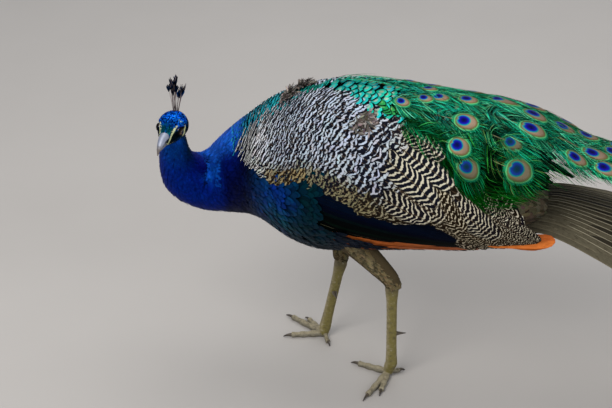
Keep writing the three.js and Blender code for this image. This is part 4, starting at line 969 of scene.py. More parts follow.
def make_skin():
    from mathutils.kdtree import KDTree
    V, F, _, _ = SKIN_PARTS[-1]
    order = sorted(range(len(SKIN_PARTS)), key=lambda i: 0 if SKIN_PARTS[i][3] == 1 else 1)
    base = tri_object("skin_base", *SKIN_PARTS[order[0]][:2]); tools = []
    for i in order[1:]:
        o = tri_object("skin_tool", *SKIN_PARTS[i][:2]); tools.append(o)
        md = base.modifiers.new("union", "BOOLEAN"); md.operation = "UNION"; md.object = o; md.solver = "MANIFOLD"
    dg = bpy.context.evaluated_depsgraph_get(); dg.update()
    me = bpy.data.meshes.new_from_object(base.evaluated_get(dg))
    n = len(me.vertices); V = np.zeros(n * 3); me.vertices.foreach_get("co", V); V = V.reshape(-1, 3)
    total = sum(len(p[0]) for p in SKIN_PARTS)
    print("skin union:", n, "of", total)
    kd = KDTree(total); src_c = np.concatenate([p[2] for p in SKIN_PARTS]); src_p = np.concatenate([np.full(len(p[0]), p[3]) for p in SKIN_PARTS])
    k = 0
    for p in SKIN_PARTS:
        for v in p[0]:
            kd.insert(v, k); k += 1
    kd.balance()
    near = np.array([kd.find(v)[1] for v in V])
    for o in [base, *tools]:
        bpy.data.objects.remove(o)
    ob = bpy.data.objects.new("skin", me); scene.collection.objects.link(ob)
    for a_ in list(me.attributes):
        if a_.name in ("Col",):
            me.attributes.remove(a_)
    at = me.attributes.new("Col", "FLOAT_COLOR", "POINT"); c = np.ones((n, 4), np.float32); c[:, :3] = src_c[near]; at.data.foreach_set("color", c.ravel())
    m1, m2 = skin_materials(); me.materials.clear(); me.materials.append(m1); me.materials.append(m2)
    lv = np.zeros(len(me.loops), np.int32); me.loops.foreach_get("vertex_index", lv)
    ls = np.zeros(len(me.polygons), np.int32); me.polygons.foreach_get("loop_start", ls)
    pid = src_p[near[lv[ls]]]
    me.polygons.foreach_set("material_index", np.where(pid >= 3, 1, 0).astype(np.int32))
    me.polygons.foreach_set("use_smooth", np.ones(len(me.polygons), bool))
    me.update()
    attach(ob, "root")
    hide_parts("head", "neck_upper", "neck_lower", "trunk", "thigh_left", "thigh_right", "tarsus_left", "tarsus_right", "foot_left", "foot_right")
    return ob


SKIN = make_skin()


def simple(name, V, F, mat, nodes, attrs=None, smooth=True, sharp=None):
    ob = mesh_object(name, V, F, None, attrs, sharp, smooth)
    ob.data.materials.append(mat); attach(ob, "root"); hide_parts(*nodes)
    return ob


# ------------------------------------------------------------------ eyes
def eye_material():
    m, nt, bs = new_mat("eye"); g = NT(nt)
    th = g.sep(g.attr("fa"))[0]
    nz = g.noise(g.pos(), 2500.0, 2.0)
    th2 = g.m("ADD", th, g.m("MULTIPLY", g.m("SUBTRACT", nz, 0.5), 0.05))
    col = g.ramp(th2, [(0.0, lin(3, 3, 4)), (0.285, lin(4, 3, 3)), (0.31, lin(58, 34, 16)), (0.42, lin(84, 50, 24)), (0.52, lin(60, 36, 20)), (0.58, lin(20, 14, 12)), (0.66, lin(34, 28, 26)), (1.0, lin(60, 50, 46))])
    nt.links.new(col, bs.inputs["Base Color"])
    bs.inputs["Roughness"].default_value = 0.12; bs.inputs["IOR"].default_value = 1.38
    bs.inputs["Coat Weight"].default_value = 1.0; bs.inputs["Coat Roughness"].default_value = 0.03
    return m


EM = eye_material()
for name, sgn in (("left", 1), ("right", -1)):
    C_ = np.array([EYE_AT[0], sgn * EYE_AT[1], EYE_AT[2]])
    axis = unit(np.array([0.16, sgn * 1.0, 0.06])); e1 = unit(np.cross(axis, [0, 0, 1.0])); e2 = np.cross(axis, e1)
    th = np.linspace(0.03, math.pi - 0.03, 40); ph = np.arange(48) / 48 * 2 * math.pi
    r = 6.12 + 0.42 * np.exp(-(th / 0.62) ** 4)
    d = np.cos(th)[:, None, None] * axis + np.sin(th)[:, None, None] * (np.cos(ph)[None, :, None] * e1 + np.sin(ph)[None, :, None] * e2)
    G = C_ + d * r[:, None, None]
    V, F = ring_tube(head(G[..., 0], G[..., 1], G[..., 2]), head(*(C_ + axis * r[0])), head(*(C_ - axis * 6.12)))
    tv = np.concatenate([np.repeat(th, 48), [0, math.pi]]) / math.pi * 2
    simple(f"eye_{name}_ball", V, F, EM, [f"eye_{name}"], {"fa": np.stack([tv, tv * 0, tv * 0], -1)})

# ------------------------------------------------------------------ bill
BILL_TOP = [(20, 6.4, 8.4, -1), (27, 7.2, 9, -1.4), (34, 6.8, 8, -2), (40, 5.9, 6, -2.6), (46, 4.5, 2.6, -3.8), (51, 3, -1.6, -5.6), (54.5, 1.6, -6, -8.4), (56, 0.6, -9.4, -10.8)]
BILL_LOW = [(20, 5.2, -1.6, -7.4), (28, 5.9, -2, -8), (36, 5.1, -2.6, -8), (43, 3.8, -3.6, -7.6), (48.5, 2.2, -5, -7.8), (51, 0.8, -6.2, -7.6)]


def bill_material():
    m, nt, bs = new_mat("bill_horn"); g = NT(nt)
    p = g.attr("Col", "Color")
    n1 = g.noise(g.pos(), 260.0, 4.0, 0.6); n2 = g.noise(g.pos(), 1400.0, 2.0)
    sh = g.smooth(n1, 0.3, 0.7, 0.86, 1.08)
    col = g.mix(1.0, p, g.comb(sh, sh, sh), "MULTIPLY")
    col = g.mix(g.smooth(n1, 0.55, 0.75, 0.0, 0.35), col, tuple(lin(120, 108, 98)))
    nt.links.new(col, bs.inputs["Base Color"])
    bs.inputs["Roughness"].default_value = 0.38; bs.inputs["Coat Weight"].default_value = 0.15; bs.inputs["Coat Roughness"].default_value = 0.3
    nt.links.new(g.bump(g.m("ADD", n1, g.m("MULTIPLY", n2, 0.3)), 0.25, 0.0004), bs.inputs["Normal"])
    return m


BM = bill_material()
for name, tab in (("upper", BILL_TOP), ("lower", BILL_LOW)):
    tab = np.array(tab, float); nf, na = 90, 56
    f = np.linspace(tab[0, 0], tab[-1, 0], nf); v = cr(tab, np.interp(f, tab[:, 0], np.arange(len(tab))))
    a = np.arange(na) / na * 2 * math.pi
    hw, t, b = v[:, 1] - 0.05, v[:, 2] - 0.05, v[:, 3] + 0.05
    sa, ca = np.sin(a)[None], np.cos(a)[None]
    if name == "upper":
        l = hw[:, None] * ca * (1 - 0.22 * np.clip(sa, 0, 1) ** 2)
        u = ((t + b) / 2)[:, None] + ((t - b) / 2)[:, None] * np.sign(sa) * np.abs(sa) ** 0.96
    else:
        l = hw[:, None] * ca; u = ((t + b) / 2)[:, None] + ((t - b) / 2)[:, None] * sa
    ff = np.broadcast_to(f[:, None], l.shape)
    cb_ = mixc(np.broadcast_to(lin(112, 118, 136), l.shape + (3,)), lin(96, 86, 80), sstep(42, 55, ff))
    if name == "upper":
        # nostril slit under a soft flap, and a swelling at the base
        dn = np.sqrt(((ff - 35.5 + 0.5 * (u - 2.2)) / 3.6) ** 2 + ((u - 2.0) / 1.35) ** 2)
        on = (np.abs(l) > 2.5)
        dent = np.exp(-dn ** 4) * on * 1.3
        flap = np.exp(-(((ff - 33) / 6) ** 2) - ((u - 4.2) / 1.4) ** 2) * on * 0.45
        l = l * (1 - (dent - flap) / np.maximum(np.abs(l), 2.5))
        # painted shade: the nostril's dent darkened
        cb_ = mixc(cb_, lin(34, 30, 30), np.exp(-(dn * 0.85) ** 4) * on)
        # painted highlight: a pale bluish-white streak along the top ridge of the bill
        cb_ = mixc(cb_, lin(176, 182, 200), np.exp(-((l / 2.0) ** 2)) * (u > 1) * 0.7)
        cb_ = mixc(cb_, lin(120, 104, 88), sstep(0.8, 0.0, (u - b[:, None])) * 0.5)
    else:
        cb_ = mixc(cb_, lin(120, 112, 98), 0.5)
    V, F = ring_tube(head(ff, l, u), head(f[0] - 0.5, 0, (t[0] + b[0]) / 2), head(f[-1] + 0.35, 0, (t[-1] + b[-1]) / 2))
    simple(f"bill_{name}_horn", V, F, BM, [f"bill_{name}"], {"Col": np.concatenate([cb_.reshape(-1, 3), cb_[0, :1], cb_[-1, :1]])})

# ------------------------------------------------------------------ claws and spurs
def claw_material():
    m, nt, bs = new_mat("claw_horn"); g = NT(nt)
    t = g.sep(g.attr("fa"))[0]
    n1 = g.noise(g.pos(), 420.0, 4.0)
    col = g.ramp(g.m("ADD", t, g.m("MULTIPLY", g.m("SUBTRACT", n1, 0.5), 0.5)), [(0.0, lin(96, 88, 72)), (0.35, lin(72, 62, 48)), (0.75, lin(52, 44, 36)), (1.0, lin(38, 32, 28))])
    nt.links.new(col, bs.inputs["Base Color"])
    bs.inputs["Roughness"].default_value = 0.42; bs.inputs["Coat Weight"].default_value = 0.1
    nt.links.new(g.bump(n1, 0.3, 0.0004), bs.inputs["Normal"])
    return m


CM = claw_material()
for name, L in LEGS.items():
    hk, an, kn = (np.array(L[k], float) for k in ("hock", "ankle", "knuckle"))
    Vs, Fs, As, off = [], [], [], 0
    for k, (dg, ln, cw) in enumerate(L["toes"]):
        d = np.array([math.cos(dg * D2R), math.sin(dg * D2R), 0]); end = np.array([kn[0], kn[1], 0]) + d * ln
        rows = [(end[0] + d[0] * s, end[1] + d[1] * s, z + (-0.4 if k == 3 else 0), a_, b_) for s, z, a_, b_ in [(-3, 3.9, 2.6, 2.2), (1.5, 4.3, 2.9, 2.3), (cw * 0.45, 4.2, 2.3, 1.7), (cw * 0.75, 3, 1.5, 1.1), (cw, 1.5, 0.7, 0.6)]]
        R_, e0, e1, s, a = path_tube(rows, 20, 30, None, (0, 0, 1)); R_[..., 2] = np.maximum(R_[..., 2], 0.0)
        V, F = ring_tube(R_, e0, e1); tt = np.concatenate([np.repeat(s / s[-1], 20), [0, 1]])
        Vs.append(V); Fs.append(F + off); As.append(np.stack([tt, tt * 0, tt * 0], -1)); off += len(V)
    simple(f"claws_{name}", np.concatenate(Vs), np.concatenate(Fs), CM, [f"claw_{name}_{i}" for i in (1, 2, 3, 4)], {"fa": np.concatenate(As)})
    at = hk + (an - hk) * L["spur_at"]; d = unit(np.array(L["spur"], float))
    R_, e0, e1, s, a = path_tube([(*(at + d * s_), r_, r_) for s_, r_ in [(2, 4.5), (7, 4.1), (10, 3.1), (15, 1.9), (23, 0.6)]], 22, 34, lambda s, a: 0.08 * np.sin(s * 2.4), (0, 0, 1))
    V, F = ring_tube(R_, e0, e1); tt = np.concatenate([np.repeat(s / s[-1], 22), [0, 1]])
    simple(f"spur_{name}_horn", V, F, CM, [f"spur_{name}"], {"fa": np.stack([tt * 0.8, tt * 0, tt * 0], -1)})
# ---- end of hard parts
# ---- small feathers
HEADS = Surf([(tuple(HO + HF * f_ + HU * (t_ + b_) / 2), tuple(HU), (t_ - b_) / 2, w_) for f_, w_, t_, b_ in SKULL[::-1]])
TW = ["wing_left", "wing_right"]; TT = ["train_back", "train_middle", "train_end"]


def head_mm(P):
    d = (P - W3(HO)) * 1000
    return d @ HF, d @ HL, d @ HU


def tint(c, amt=0.10):
    """small differences between feathers"""
    n = len(c); k = 1 + RNG.normal(0, amt, (n, 1)); h = RNG.normal(0, amt * 0.35, (n, 3))
    return np.clip(c * k * (1 + h), 0, 1)


PM_HEAD = plume_material("head_feathers", rough=0.42, metal=0.75, barb=2500, barb_amt=0.2, root_dark=0.12, edge=0.75, glance=(0.02, 0.12, 0.3))
PM_NECK = plume_material("neck_feathers", rough=0.45, metal=0.40, barb=1500, barb_amt=0.25, root_dark=0.4, edge=0.4, glance=(0.01, 0.06, 0.3))
PM_BODY = plume_material("body_feathers", rough=0.46, metal=0.40, barb=1100, barb_amt=0.3, root_dark=0.4, edge=0.22, glance=(0.01, 0.08, 0.2))
PM_DOWN = plume_material("down_feathers", rough=0.8, metal=0.0, spec=0.08, sheen=0.06, sheen_tint=(1, 0.95, 0.85), barb=1100, barb_amt=0.4, root_dark=0.55, edge=0.5)
PM_TRAIN = plume_material("train_barbs", rough=0.40, metal=0.7, barb=900, barb_amt=0.45, root_dark=0.4, edge=0.3, glance=(0.02, 0.2, 0.10))
PM_BAR = barred_material("barred_feathers")
PM_OC = ocellus_material("eye_of_the_train")
PM_SCALE = scale_material("scale_feathers")
PM_FLIGHT = quill_material("flight_feathers", rough=0.5, metal=0.6)
PM_TAIL = quill_material("tail_feathers", rough=0.55, freckle=0.5, pale_edge=0.25)
PM_PRIM = quill_material("primary_feathers", rough=0.5)

# head
hc = Coat("head_feathers", PM_HEAD, "head_plumage", [])
q, a, mq = field(HEADS, 0.9, HEADS.n - 1.2, 0.0019, 0.0021, jit=0.16)
P, _, _, _ = HEADS.full(q, a); f, l, u = head_mm(P)
bare = bare_skin(f, l, u); eyed = np.sqrt((f - EYE_AT[0]) ** 2 + (u - EYE_AT[2]) ** 2)
inbill = (f > 22) & (u < 8.8) & (u > -7.8) & (np.abs(l) < 6.9)
Pt, _, _, _ = HEADS.full(q + 0.0032 / np.maximum(mq, 1e-4) if np.ndim(mq) else q, a); ft, lt, ut = head_mm(Pt)
keep = (bare < 0.12) & (bare_skin(ft, lt, ut) < 0.45) & ((eyed > 7.4) | (np.abs(l) < 8)) & ~inbill & (f < 33.2)
q, a, f, l, u = q[keep], a[keep], f[keep], l[keep], u[keep]
size_ = 0.0032 + 0.0016 * sstep(8, -14, f) - 0.0009 * sstep(20, 26, f)
curly = sstep(5, 10, u + 0.12 * f) * sstep(-14, -4, f)
cl = tint(head_colour(f, l, u), 0.42)
low_ = np.where((eyed[keep] < 10), -0.0022, -0.0014)
drape(hc, HEADS, q, a, RNG.normal(0, 0.15, len(q)), size_, size_ * (0.62 + 0.10 * curly), "round", R=4, C=3, low=low_, lift=0.0003 + 0.0006 * curly, cup=0.2 + 0.25 * curly[:, None, None], thick=0.00025, col=cl, colb=mixc(cl * 0.35, np.broadcast_to(lin(0, 10, 60), cl.shape), curly))
hc.build()

WLOW_X = [-200, -190, -184, -170, -152, -132, -122, -102, -72, -58, -34, -12, 10, 46, 74, 92, 112, 132, 160, 188, 202, 242, 264, 274]
WLOW_A = [56, 54, 44, 30, 19, 11, 8, 8, 13, 12, 9, 4, -1, -9, -11, -13, -6, -10, -21, -32, -52, -53, -50, -49]
UP_X = [-200, -190, -182, -168, -148, -130, -110, -92, -70, -48, -22, -2, 12, 30, 70, 92, 110, 126, 136, 148, 170, 192, 214, 234, 256, 270]
UP_A = [52, 55, 60, 65, 69, 74, 79, 88, 92, 90, 79, 73, 66, 63, 62, 58, 43, 33, 25, 21, 15, 15, 11, 6, -3, -19]
UPF_A = np.minimum(UP_A, 76)
WB_X = [-60, -36, 0, 42, 116, 174, 222, 256, 288]
WB_A = [-22, -29, -38, -48, -49, -56, -55, -51, -47]
# neck: silky, narrow, very many
nc = Coat("neck_feathers", PM_NECK, "neck_plumage", [])
q, a, mq = field(CORE, 0.35, 13.0, 0.0040, 0.0036)
k = (RNG.random(len(q)) > sstep(10.2, 12.9, q)) & ((q < 9.6 + 0.9 * RNG.random(len(q))) | (90 - np.abs((a + math.pi) % (2 * math.pi) - math.pi) / D2R < np.interp(CORE.x_of(q), WLOW_X, WLOW_A) - 6)); q, a, mq = q[k], a[k], mq[k]
P, _, _, _ = CORE.full(q, a); f, l, u = head_mm(P)
gro = sstep(0, 9.5, q)
S_ = 0.0105 + 0.008 * gro
stretch = np.clip(mq / np.interp(q, CORE.qs, np.gradient(CORE.arc, CORE.qs)), 0.7, 1.5)
cl = body_colour(CORE, q, a)
drape(nc, CORE, q, a, RNG.normal(0, 0.10, len(q)) + 0.08 * np.sin(q * 1.3 + a * 2), S_ * stretch, 0.0044 + 0.0024 * gro, "silk", R=5, C=3, low=-0.0035, lift=0.0006 - 0.0003 * sstep(9.4, 11.0, q), cup=0.12, jit=0.0006, thick=0.0003, col=tint(cl, 0.14), colb=cl * 0.35)
nc.build()

# breast, belly and vent
bc = Coat("body_feathers", PM_BODY, "body_plumage", [])
q, a, mq = field(CORE, 9.2, CORE.n - 1.6, 0.0072, 0.0070)
x = CORE.x_of(q); ang = 90 - np.abs((a + math.pi) % (2 * math.pi) - math.pi) / D2R
low_edge = np.interp(x, WLOW_X, WLOW_A); wing_bot = np.where(x > -60, np.interp(x, WB_X, WB_A), low_edge - 2)
belly_top = np.interp(x, [-60, -36, -7, 14, 42, 72, 120, 200, 300], [-20, -30, -38, -46, -56, -62, -64, -60, -56])
k = (ang < np.where(x < -60, low_edge + 7, np.where(x > 208, 78, belly_top + 2))) & (RNG.random(len(q)) < 0.02 + 0.98 * sstep(9.6, 12.8, q) ** 1.4)
qq_, aa_ = q[k], a[k]
x = x[k]; ang = ang[k]
cl = body_colour(CORE, qq_, aa_)
gro = sstep(-200, 40, x)
sg = np.sign((aa_ + math.pi) % (2 * math.pi) - math.pi)
fluff = sstep(-10, 120, x)
drape(bc, CORE, qq_, aa_, RNG.normal(0, 0.16, len(qq_)) - sg * 0.10 * sstep(-30, 20, ang), 0.0165 + 0.0150 * gro, 0.0080 + 0.0075 * gro, "silk", R=6, C=5, low=-0.0050, lift=0.0004, cup=0.06, jit=0.0008, thick=0.0004, col=tint(cl, 0.25), colb=mixc(cl * 0.5, lin(5, 52, 74), 0.5 * (RNG.random(len(qq_)) < 0.4) * (1 - fluff)))
bc.build()

# teal upper back between the neck and the barred scapulars
mc = Coat("mantle_feathers", PM_SCALE, "body_plumage", [])
q, a, mq = field(CORE, 9.9, float(CORE.q_at(-62)), 0.0052, 0.0062)
x = CORE.x_of(q); ang = 90 - np.abs((a + math.pi) % (2 * math.pi) - math.pi) / D2R
k = ang > np.interp(x, UP_X, UP_A) - 6
q, a, x, ang = q[k], a[k], x[k], ang[k]
t_ = sstep(-205, -120, x)
ring = mixc(lin(46, 176, 222), lin(44, 208, 218), t_); ring = mixc(ring, lin(30, 168, 146), sstep(-130, -80, x))
drape(mc, CORE, q, a, RNG.normal(0, 0.10, len(q)), 0.0130, 0.0100, "scale", R=6, C=5, low=-0.004, lift=0.0008, cup=0.14, jit=0.0005, thick=0.0004, col=tint(mixc(ring, lin(120, 190, 190), 0.28), 0.15), colb=tint(ring, 0.15))
mc.build()

# barred scapulars and wing coverts, small in front and large behind, on both sides
wc = Coat("barred_feathers", PM_BAR, "wing_plumage", TW, per=170)
wu = Coat("wing_under_feathers", PM_BODY, "wing_plumage", TW)
for sg in (1, -1):
    for x0, x1, dl, dw, Ln, Wn in ((-206, -168, 0.0056, 0.0072, 0.0165, 0.0140), (-170, -92, 0.0056, 0.0072, 0.0165, 0.0140), (-92, -10, 0.0078, 0.0095, 0.024, 0.0195), (-10, 80, 0.0105, 0.0120, 0.034, 0.026), (80, 206, 0.0140, 0.0145, 0.046, 0.032), ("e", 0, 1, 0, 0, 0), ("e", 0, 2, 0, 0, 0)):
        if x0 == "e":
            S = CORE if dl == 1 else WING
            ex = np.arange(-176, -60, 5.0) if dl == 1 else np.concatenate([np.arange(-60, 30, 7.0), np.arange(30, 266, 10.0)])
            ex = np.concatenate([ex, ex + 2.0, ex + 3.6]); n = len(ex); second = np.repeat([0, 1, 2.2], n // 3)
            Ln = np.interp(ex, [-166, -60, 40, 150], [0.0155, 0.023, 0.036, 0.044]); Wn = Ln * 0.84
            eg = np.interp(ex, WLOW_X, WLOW_A) + 1.6 + 2.6 * second + RNG.normal(0, 0.8, n)
            phi_ = (16 + 12 * sstep(-150, 60, ex) + 30 * sstep(-60, -120, ex)) * D2R
            qt, at_ = S.q_at(ex), (90 - eg) * D2R
            _, _, pq, pa = S.full(qt, at_)
            q, a = qt - Ln * np.cos(phi_) / np.linalg.norm(pq, axis=-1), at_ - Ln * np.sin(phi_) / np.linalg.norm(pa, axis=-1)
            q = np.maximum(q, 0.0)
        else:
            S = CORE if x0 < -100 else WING
            qa, qb = S.q_at(x0), S.q_at(x1)
            q, a, mq = field(S, float(qa), float(qb), dl, dw, 0.02, 2.55)
        x = S.x_of(q); ang = 90 - a / D2R
        phi = (18 + 14 * sstep(-150, 60, x) - 12 * sstep(60, 20, ang) * 0 + 10 * sstep(40, 80, ang)) * D2R
        phi = phi + 34 * D2R * sstep(-60, -120, x) * (1 - sstep(2, 30, ang - np.interp(x, WLOW_X, WLOW_A))) + RNG.normal(0, 0.09, len(q))
        _, _, pq, pa = S.full(q, a)
        mq, ma = np.linalg.norm(pq, axis=-1), np.linalg.norm(pa, axis=-1)
        tq, ta = q + Ln * np.cos(phi) / mq, a + Ln * np.sin(phi) / ma
        tx, tang = S.x_of(tq), 90 - ta / D2R
        if x0 == "e":
            phi = phi_; tx, tang = ex, eg; Ln_, Wn_ = Ln, Wn
        k = (tang > np.interp(tx, WLOW_X, WLOW_A) + (-9 if x0 == "e" else 1.0)) & (tang < np.interp(tx, UP_X, UP_A if sg > 0 else UPF_A) + 4) & (ang < np.interp(x, UP_X, UP_A if sg > 0 else UPF_A) + 9)
        Ln, Wn = np.broadcast_to(Ln, k.shape)[k], np.broadcast_to(Wn, k.shape)[k]
        q, a, x, ang, phi, tx, tang = q[k], a[k], x[k], ang[k], phi[k], tx[k], tang[k]
        n = len(q)
        below = sstep(0, 22, tang - np.interp(tx, WLOW_X, WLOW_A))
        pale = mixc(lin(122, 122, 96), lin(176, 188, 204), sstep(0.2, 0.9, below)); pale = mixc(pale, lin(186, 184, 172), sstep(20, 110, tx) * 0.8)
        pale = mixc(pale, lin(150, 182, 172), 0.5 * sstep(-110, -150, tx) * (1 - below)); pale = mixc(pale, lin(240, 242, 242), sstep(-105, -155, tx) * 0.92); pale = mixc(pale, lin(238, 230, 206), sstep(140, 200, tx) * 0.75)
        per = (5.2 + 1.5 * sstep(-150, -60, tx) + 2.6 * sstep(-60, 30, tx) + 1.6 * sstep(40, 110, tx) - 2.2 * sstep(150, 250, tx)) * (1 + RNG.normal(0, 0.06, n))
        brown = np.clip(0.12 + 0.45 * (1 - below) * sstep(-60, 60, tx) + 0.25 * sstep(60, 160, tx) + RNG.normal(0, 0.08, n), 0, 1)
        rust = (tang < np.interp(tx, WLOW_X, WLOW_A) + 9) & (np.abs(tx + 92) < 34)
        brown = np.where(rust & (RNG.random(n) < 0.6), 0.95, brown)
        fine = np.clip(0.12 + RNG.normal(0, 0.08, n) + 0.22 * sstep(120, 200, tx), 0, 1) + 0.45 * (1 - below) * sstep(-90, -20, tx) - 0.42 * sstep(-110, -160, tx) * sstep(0.1, 0.6, below)
        drape(wc, S, q, a * sg, phi * sg, Ln * (1 + RNG.normal(0, 0.05, n)), Wn * (1 + RNG.normal(0, 0.05, n)), "round", R=7, C=5, low=-0.0055 - 0.02 * Ln, lift=0.0011 + 0.0010 * sstep(-120, -170, tx) - (0.0006 if x0 == "e" else 0.0), cup=0.11, jit=0.0009, thick=0.0005,
              col=tint(pale, 0.07), colb=np.stack([per / 20, brown, fine], -1))
    # dark feathers beneath all of the wing
    q, a, mq = field(WING, 0.4, float(WING.q_at(300)), 0.020, 0.020, 0.0, 2.75)
    x = WING.x_of(q); ang = 90 - a / D2R
    wl = np.where(x < -60, np.interp(x, WLOW_X, WLOW_A), np.interp(x, WB_X, WB_A))
    k = (ang > wl + 12) & (ang < np.interp(x, UP_X, UP_A) + 2) & (x < 205)
    q, a, x, ang = q[k], a[k], x[k], ang[k]
    drape(wu, WING, q, a * sg, sg * 0.4 + RNG.normal(0, 0.1, len(q)), 0.045, 0.034, "round", R=6, C=4, low=-0.010, lift=-0.0048, cup=0.05, thick=0.0005, col=tint(np.broadcast_to(lin(34, 32, 34), (len(q), 3)), 0.1), colb=np.broadcast_to(lin(20, 20, 22), (len(q), 3)))
wu.build()


def A(ang, sg=1):
    return sg * (90 - ang) * D2R


# long wing feathers: primaries, secondaries, big scapulars and tertials
fc = Coat("secondary_feathers", PM_FLIGHT, "wing_plumage", TW, per=40)
pc = Coat("primary_feathers", PM_PRIM, "wing_plumage", TW, per=40)
sc = Coat("wing_shafts", PM_DOWN, "wing_plumage", TW)
for sg in (1, -1):
    # chestnut primaries, lowest and innermost
    for ctl, wd in ((((-58, -20), (-34, -27.5), (-7, -34), (16, -41), (46, -49), (90, -52), (150, -50), (214, -50)), 0.012), (((-46, -17), (-20, -26), (12, -35), (50, -44), (100, -49), (160, -49), (240, -49)), 0.018), (((-30, -14), (0, -26), (40, -38), (100, -46), (180, -50), (262, -49)), 0.020)):
        P, X, N, uv = track(WING, [(x_, A(g_, sg), -4.6 + 2.2 * min(1, j_ / 3)) for j_, (x_, g_) in enumerate(ctl)], 28)
        lay3(pc, P, X, N, wd, "quill", C=7, cup=0.06, thick=0.0007, col=lin(206, 112, 50), colb=lin(186, 98, 44), uvpos=uv)
    for i in range(7):
        k = i / 6
        tipx, tipa = (292, 286, 270, 246, 214, 170, 96)[i], (-49, -52, -54, -56, -58, -56, -60)[i]
        x0 = (40, 30, 10, -10, -20, -34, -62)[i]; g0 = (-44, -44, -42, -39, -37, -32, -20)[i]
        pts = [(x0, A(g0, sg), -4.5), (x0 * 0.75 + tipx * 0.25, A(g0 * 0.62 + tipa * 0.38 - 2.0, sg), -3.2 + 0.30 * i), (x0 * 0.5 + tipx * 0.5, A(g0 * 0.32 + tipa * 0.68 - 2.0, sg), -2.4 + 0.35 * i), (x0 * 0.25 + tipx * 0.75, A(g0 * 0.12 + tipa * 0.88 - 1.2, sg), -2.0 + 0.35 * i), (tipx, A(tipa, sg), -2.0 + 0.3 * i)]
        P, X, N, uv = track(WING, pts, 26)
        lay3(pc, P, X, N, (0.026, 0.026, 0.025, 0.024, 0.022, 0.020, 0.018)[i], "quill", C=7, cup=0.10, thick=0.0007, col=lin(196, 106, 48) * (1 + 0.05 * (i % 3)), colb=lin(176, 92, 44), skew=0.0, uvpos=uv)
    # dark green-black secondaries fanned over them
    for i in range(13):
        k = i / 12
        ra, rx = 12 - 37 * k, -78 + 42 * k
        ta, tx = -27 - 19 * k + 3.0 * math.sin(k * 3), 214 - 4 * k - 30 * (1 - k) ** 2
        hgt = -4.4 + 1.8 * (1 - k)
        mid = [(rx + (tx - rx) * t, A(ra + (ta - ra) * (1 - (1 - t) ** (1 + 0.8 * k)) - (1.2 + 5.5 * k) * math.sin(t * math.pi), sg), hgt + 0.4 * math.sin(t * math.pi) + 1.6 * t * t) for t in (0, 0.25, 0.5, 0.75, 1)]
        P, X, N, uv = track(WING, mid, 26)
        g_ = lin(4, 8, 8) if i % 3 else lin(5, 20, 14)
        if k < 0.35:
            g_ = mixc(g_, lin(3, 12, 44), 0.6 * (1 - k / 0.35))
        lay3(fc, P, X, N, 0.034, "quill", C=7, cup=0.05, thick=0.0006, col=g_, colb=g_ * (1.5 if i == 10 else 0.8), uvpos=uv)
        tubes(sc, (P + N * 0.0001)[None], N[None], (0.0005 * (1 - 0.7 * np.linspace(0, 1, 26)))[None], col=lin(10, 12, 12) if i != 10 else lin(96, 92, 70), colb=lin(8, 8, 8), uvpos=np.array([uv]))
    # big scapulars and tertials: (root x, ang) (bend) (tip x, ang), width mm, period, brown, fine
    big = [((34, 6), (86, -2), (116, -9), 36, 8.2, 0.25, 0.15), ((50, 18), (100, 4), (136, -7), 34, 7.6, 0.35, 0.3), ((62, 28), (120, 10), (166, -16), 40, 7.8, 0.6, 0.6),
           ((92, 24), (158, 2), (214, -24), 46, 7.4, 0.3, 0.35), ((86, 12), (160, -14), (236, -46), 44, 6.2, 0.75, 0.85), ((106, 22), (188, -10), (268, -44), 50, 5.2, 0.55, 0.9),
           ((112, 32), (190, 4), (272, -30), 44, 5.0, 0.4, 0.85),
           ((44, 44), (94, 34), (146, 18), 40, 9.0, 0.10, 0.1), ((30, 34), (82, 22), (126, 4), 38, 9.4, 0.15, 0.1), ((60, 54), (96, 48), (128, 36), 32, 7.0, 0.15, 0.3)]
    order = [6, 5, 4, 3, 2, 7, 1, 8, 0, 9]
    for rank, j in enumerate(order):
        (x0, g0), (x1, g1), (x2, g2), Wd, per, br, fi = big[j]
        h0 = -1.6 + 0.34 * rank
        P, X, N, uv = track(WING, [(x0, A(g0, sg), h0 - 3), ((x0 + x1) / 2, A((g0 + g1) / 2 + 1.5, sg), h0 + 0.6), (x1, A(g1, sg), h0 + 2.2), ((x1 + x2) / 2, A((g1 + g2) / 2 + 1.5, sg), h0 + 3.2), (x2, A(g2, sg), h0 + 3.4)], 26)
        lay3(wc, P, X, N, Wd / 1000, "tert", C=9, cup=0.12, thick=0.0008, col=lin(204, 198, 176), colb=np.array([per / 20, br, fi]), uvpos=uv)
        tubes(sc, (P + N * 0.0005)[None], N[None], (0.0008 * (1 - 0.75 * np.linspace(0, 1, 26)))[None], col=lin(84, 68, 50), colb=lin(70, 60, 50), uvpos=np.array([uv]))
    for j_, (tx_, ta_) in enumerate(((276, -43), (284, -40), (291, -36), (295, -32))):
        tx_ = tx_ if sg > 0 else tx_ - 26
        P, X, N, uv = track(WING, [(190, A(-34, sg), -5.5), (230, A(-36, sg), -4.6), (252, A((ta_ - 38) / 2, sg), -3.0), (tx_, A(ta_, sg), -1.2 + 0.3 * j_)], 18)
        T_ = unit(np.gradient(P, axis=0)); X = unit(np.cross(np.array([0.0, -0.77 * sg, 0.64]), T_)); N = unit(np.cross(T_, X))
        lay3(pc, P, X, N, 0.021, "quill", C=5, cup=0.08, thick=0.0006, col=lin(206, 112, 50), colb=lin(180, 92, 42), uvpos=uv)
wc.build(); fc.build(); pc.build(); sc.build()
# ---- end of wing
# ------------------------------------------------------------------ train
TLOW_X = [-62, -40, 30, 70, 92, 110, 126, 136, 148, 170, 200, 240, 266, 282, 292, 314, 334, 360, 420, 500, 604, 640]
TLOW_A = [88, 80, 66, 62, 58, 43, 33, 25, 20, 12, 3, -3, 8, 23, 33, 48, 54, 54, 50, 46, 43, 42]


def tlow(x):
    return np.interp(x, TLOW_X, TLOW_A)


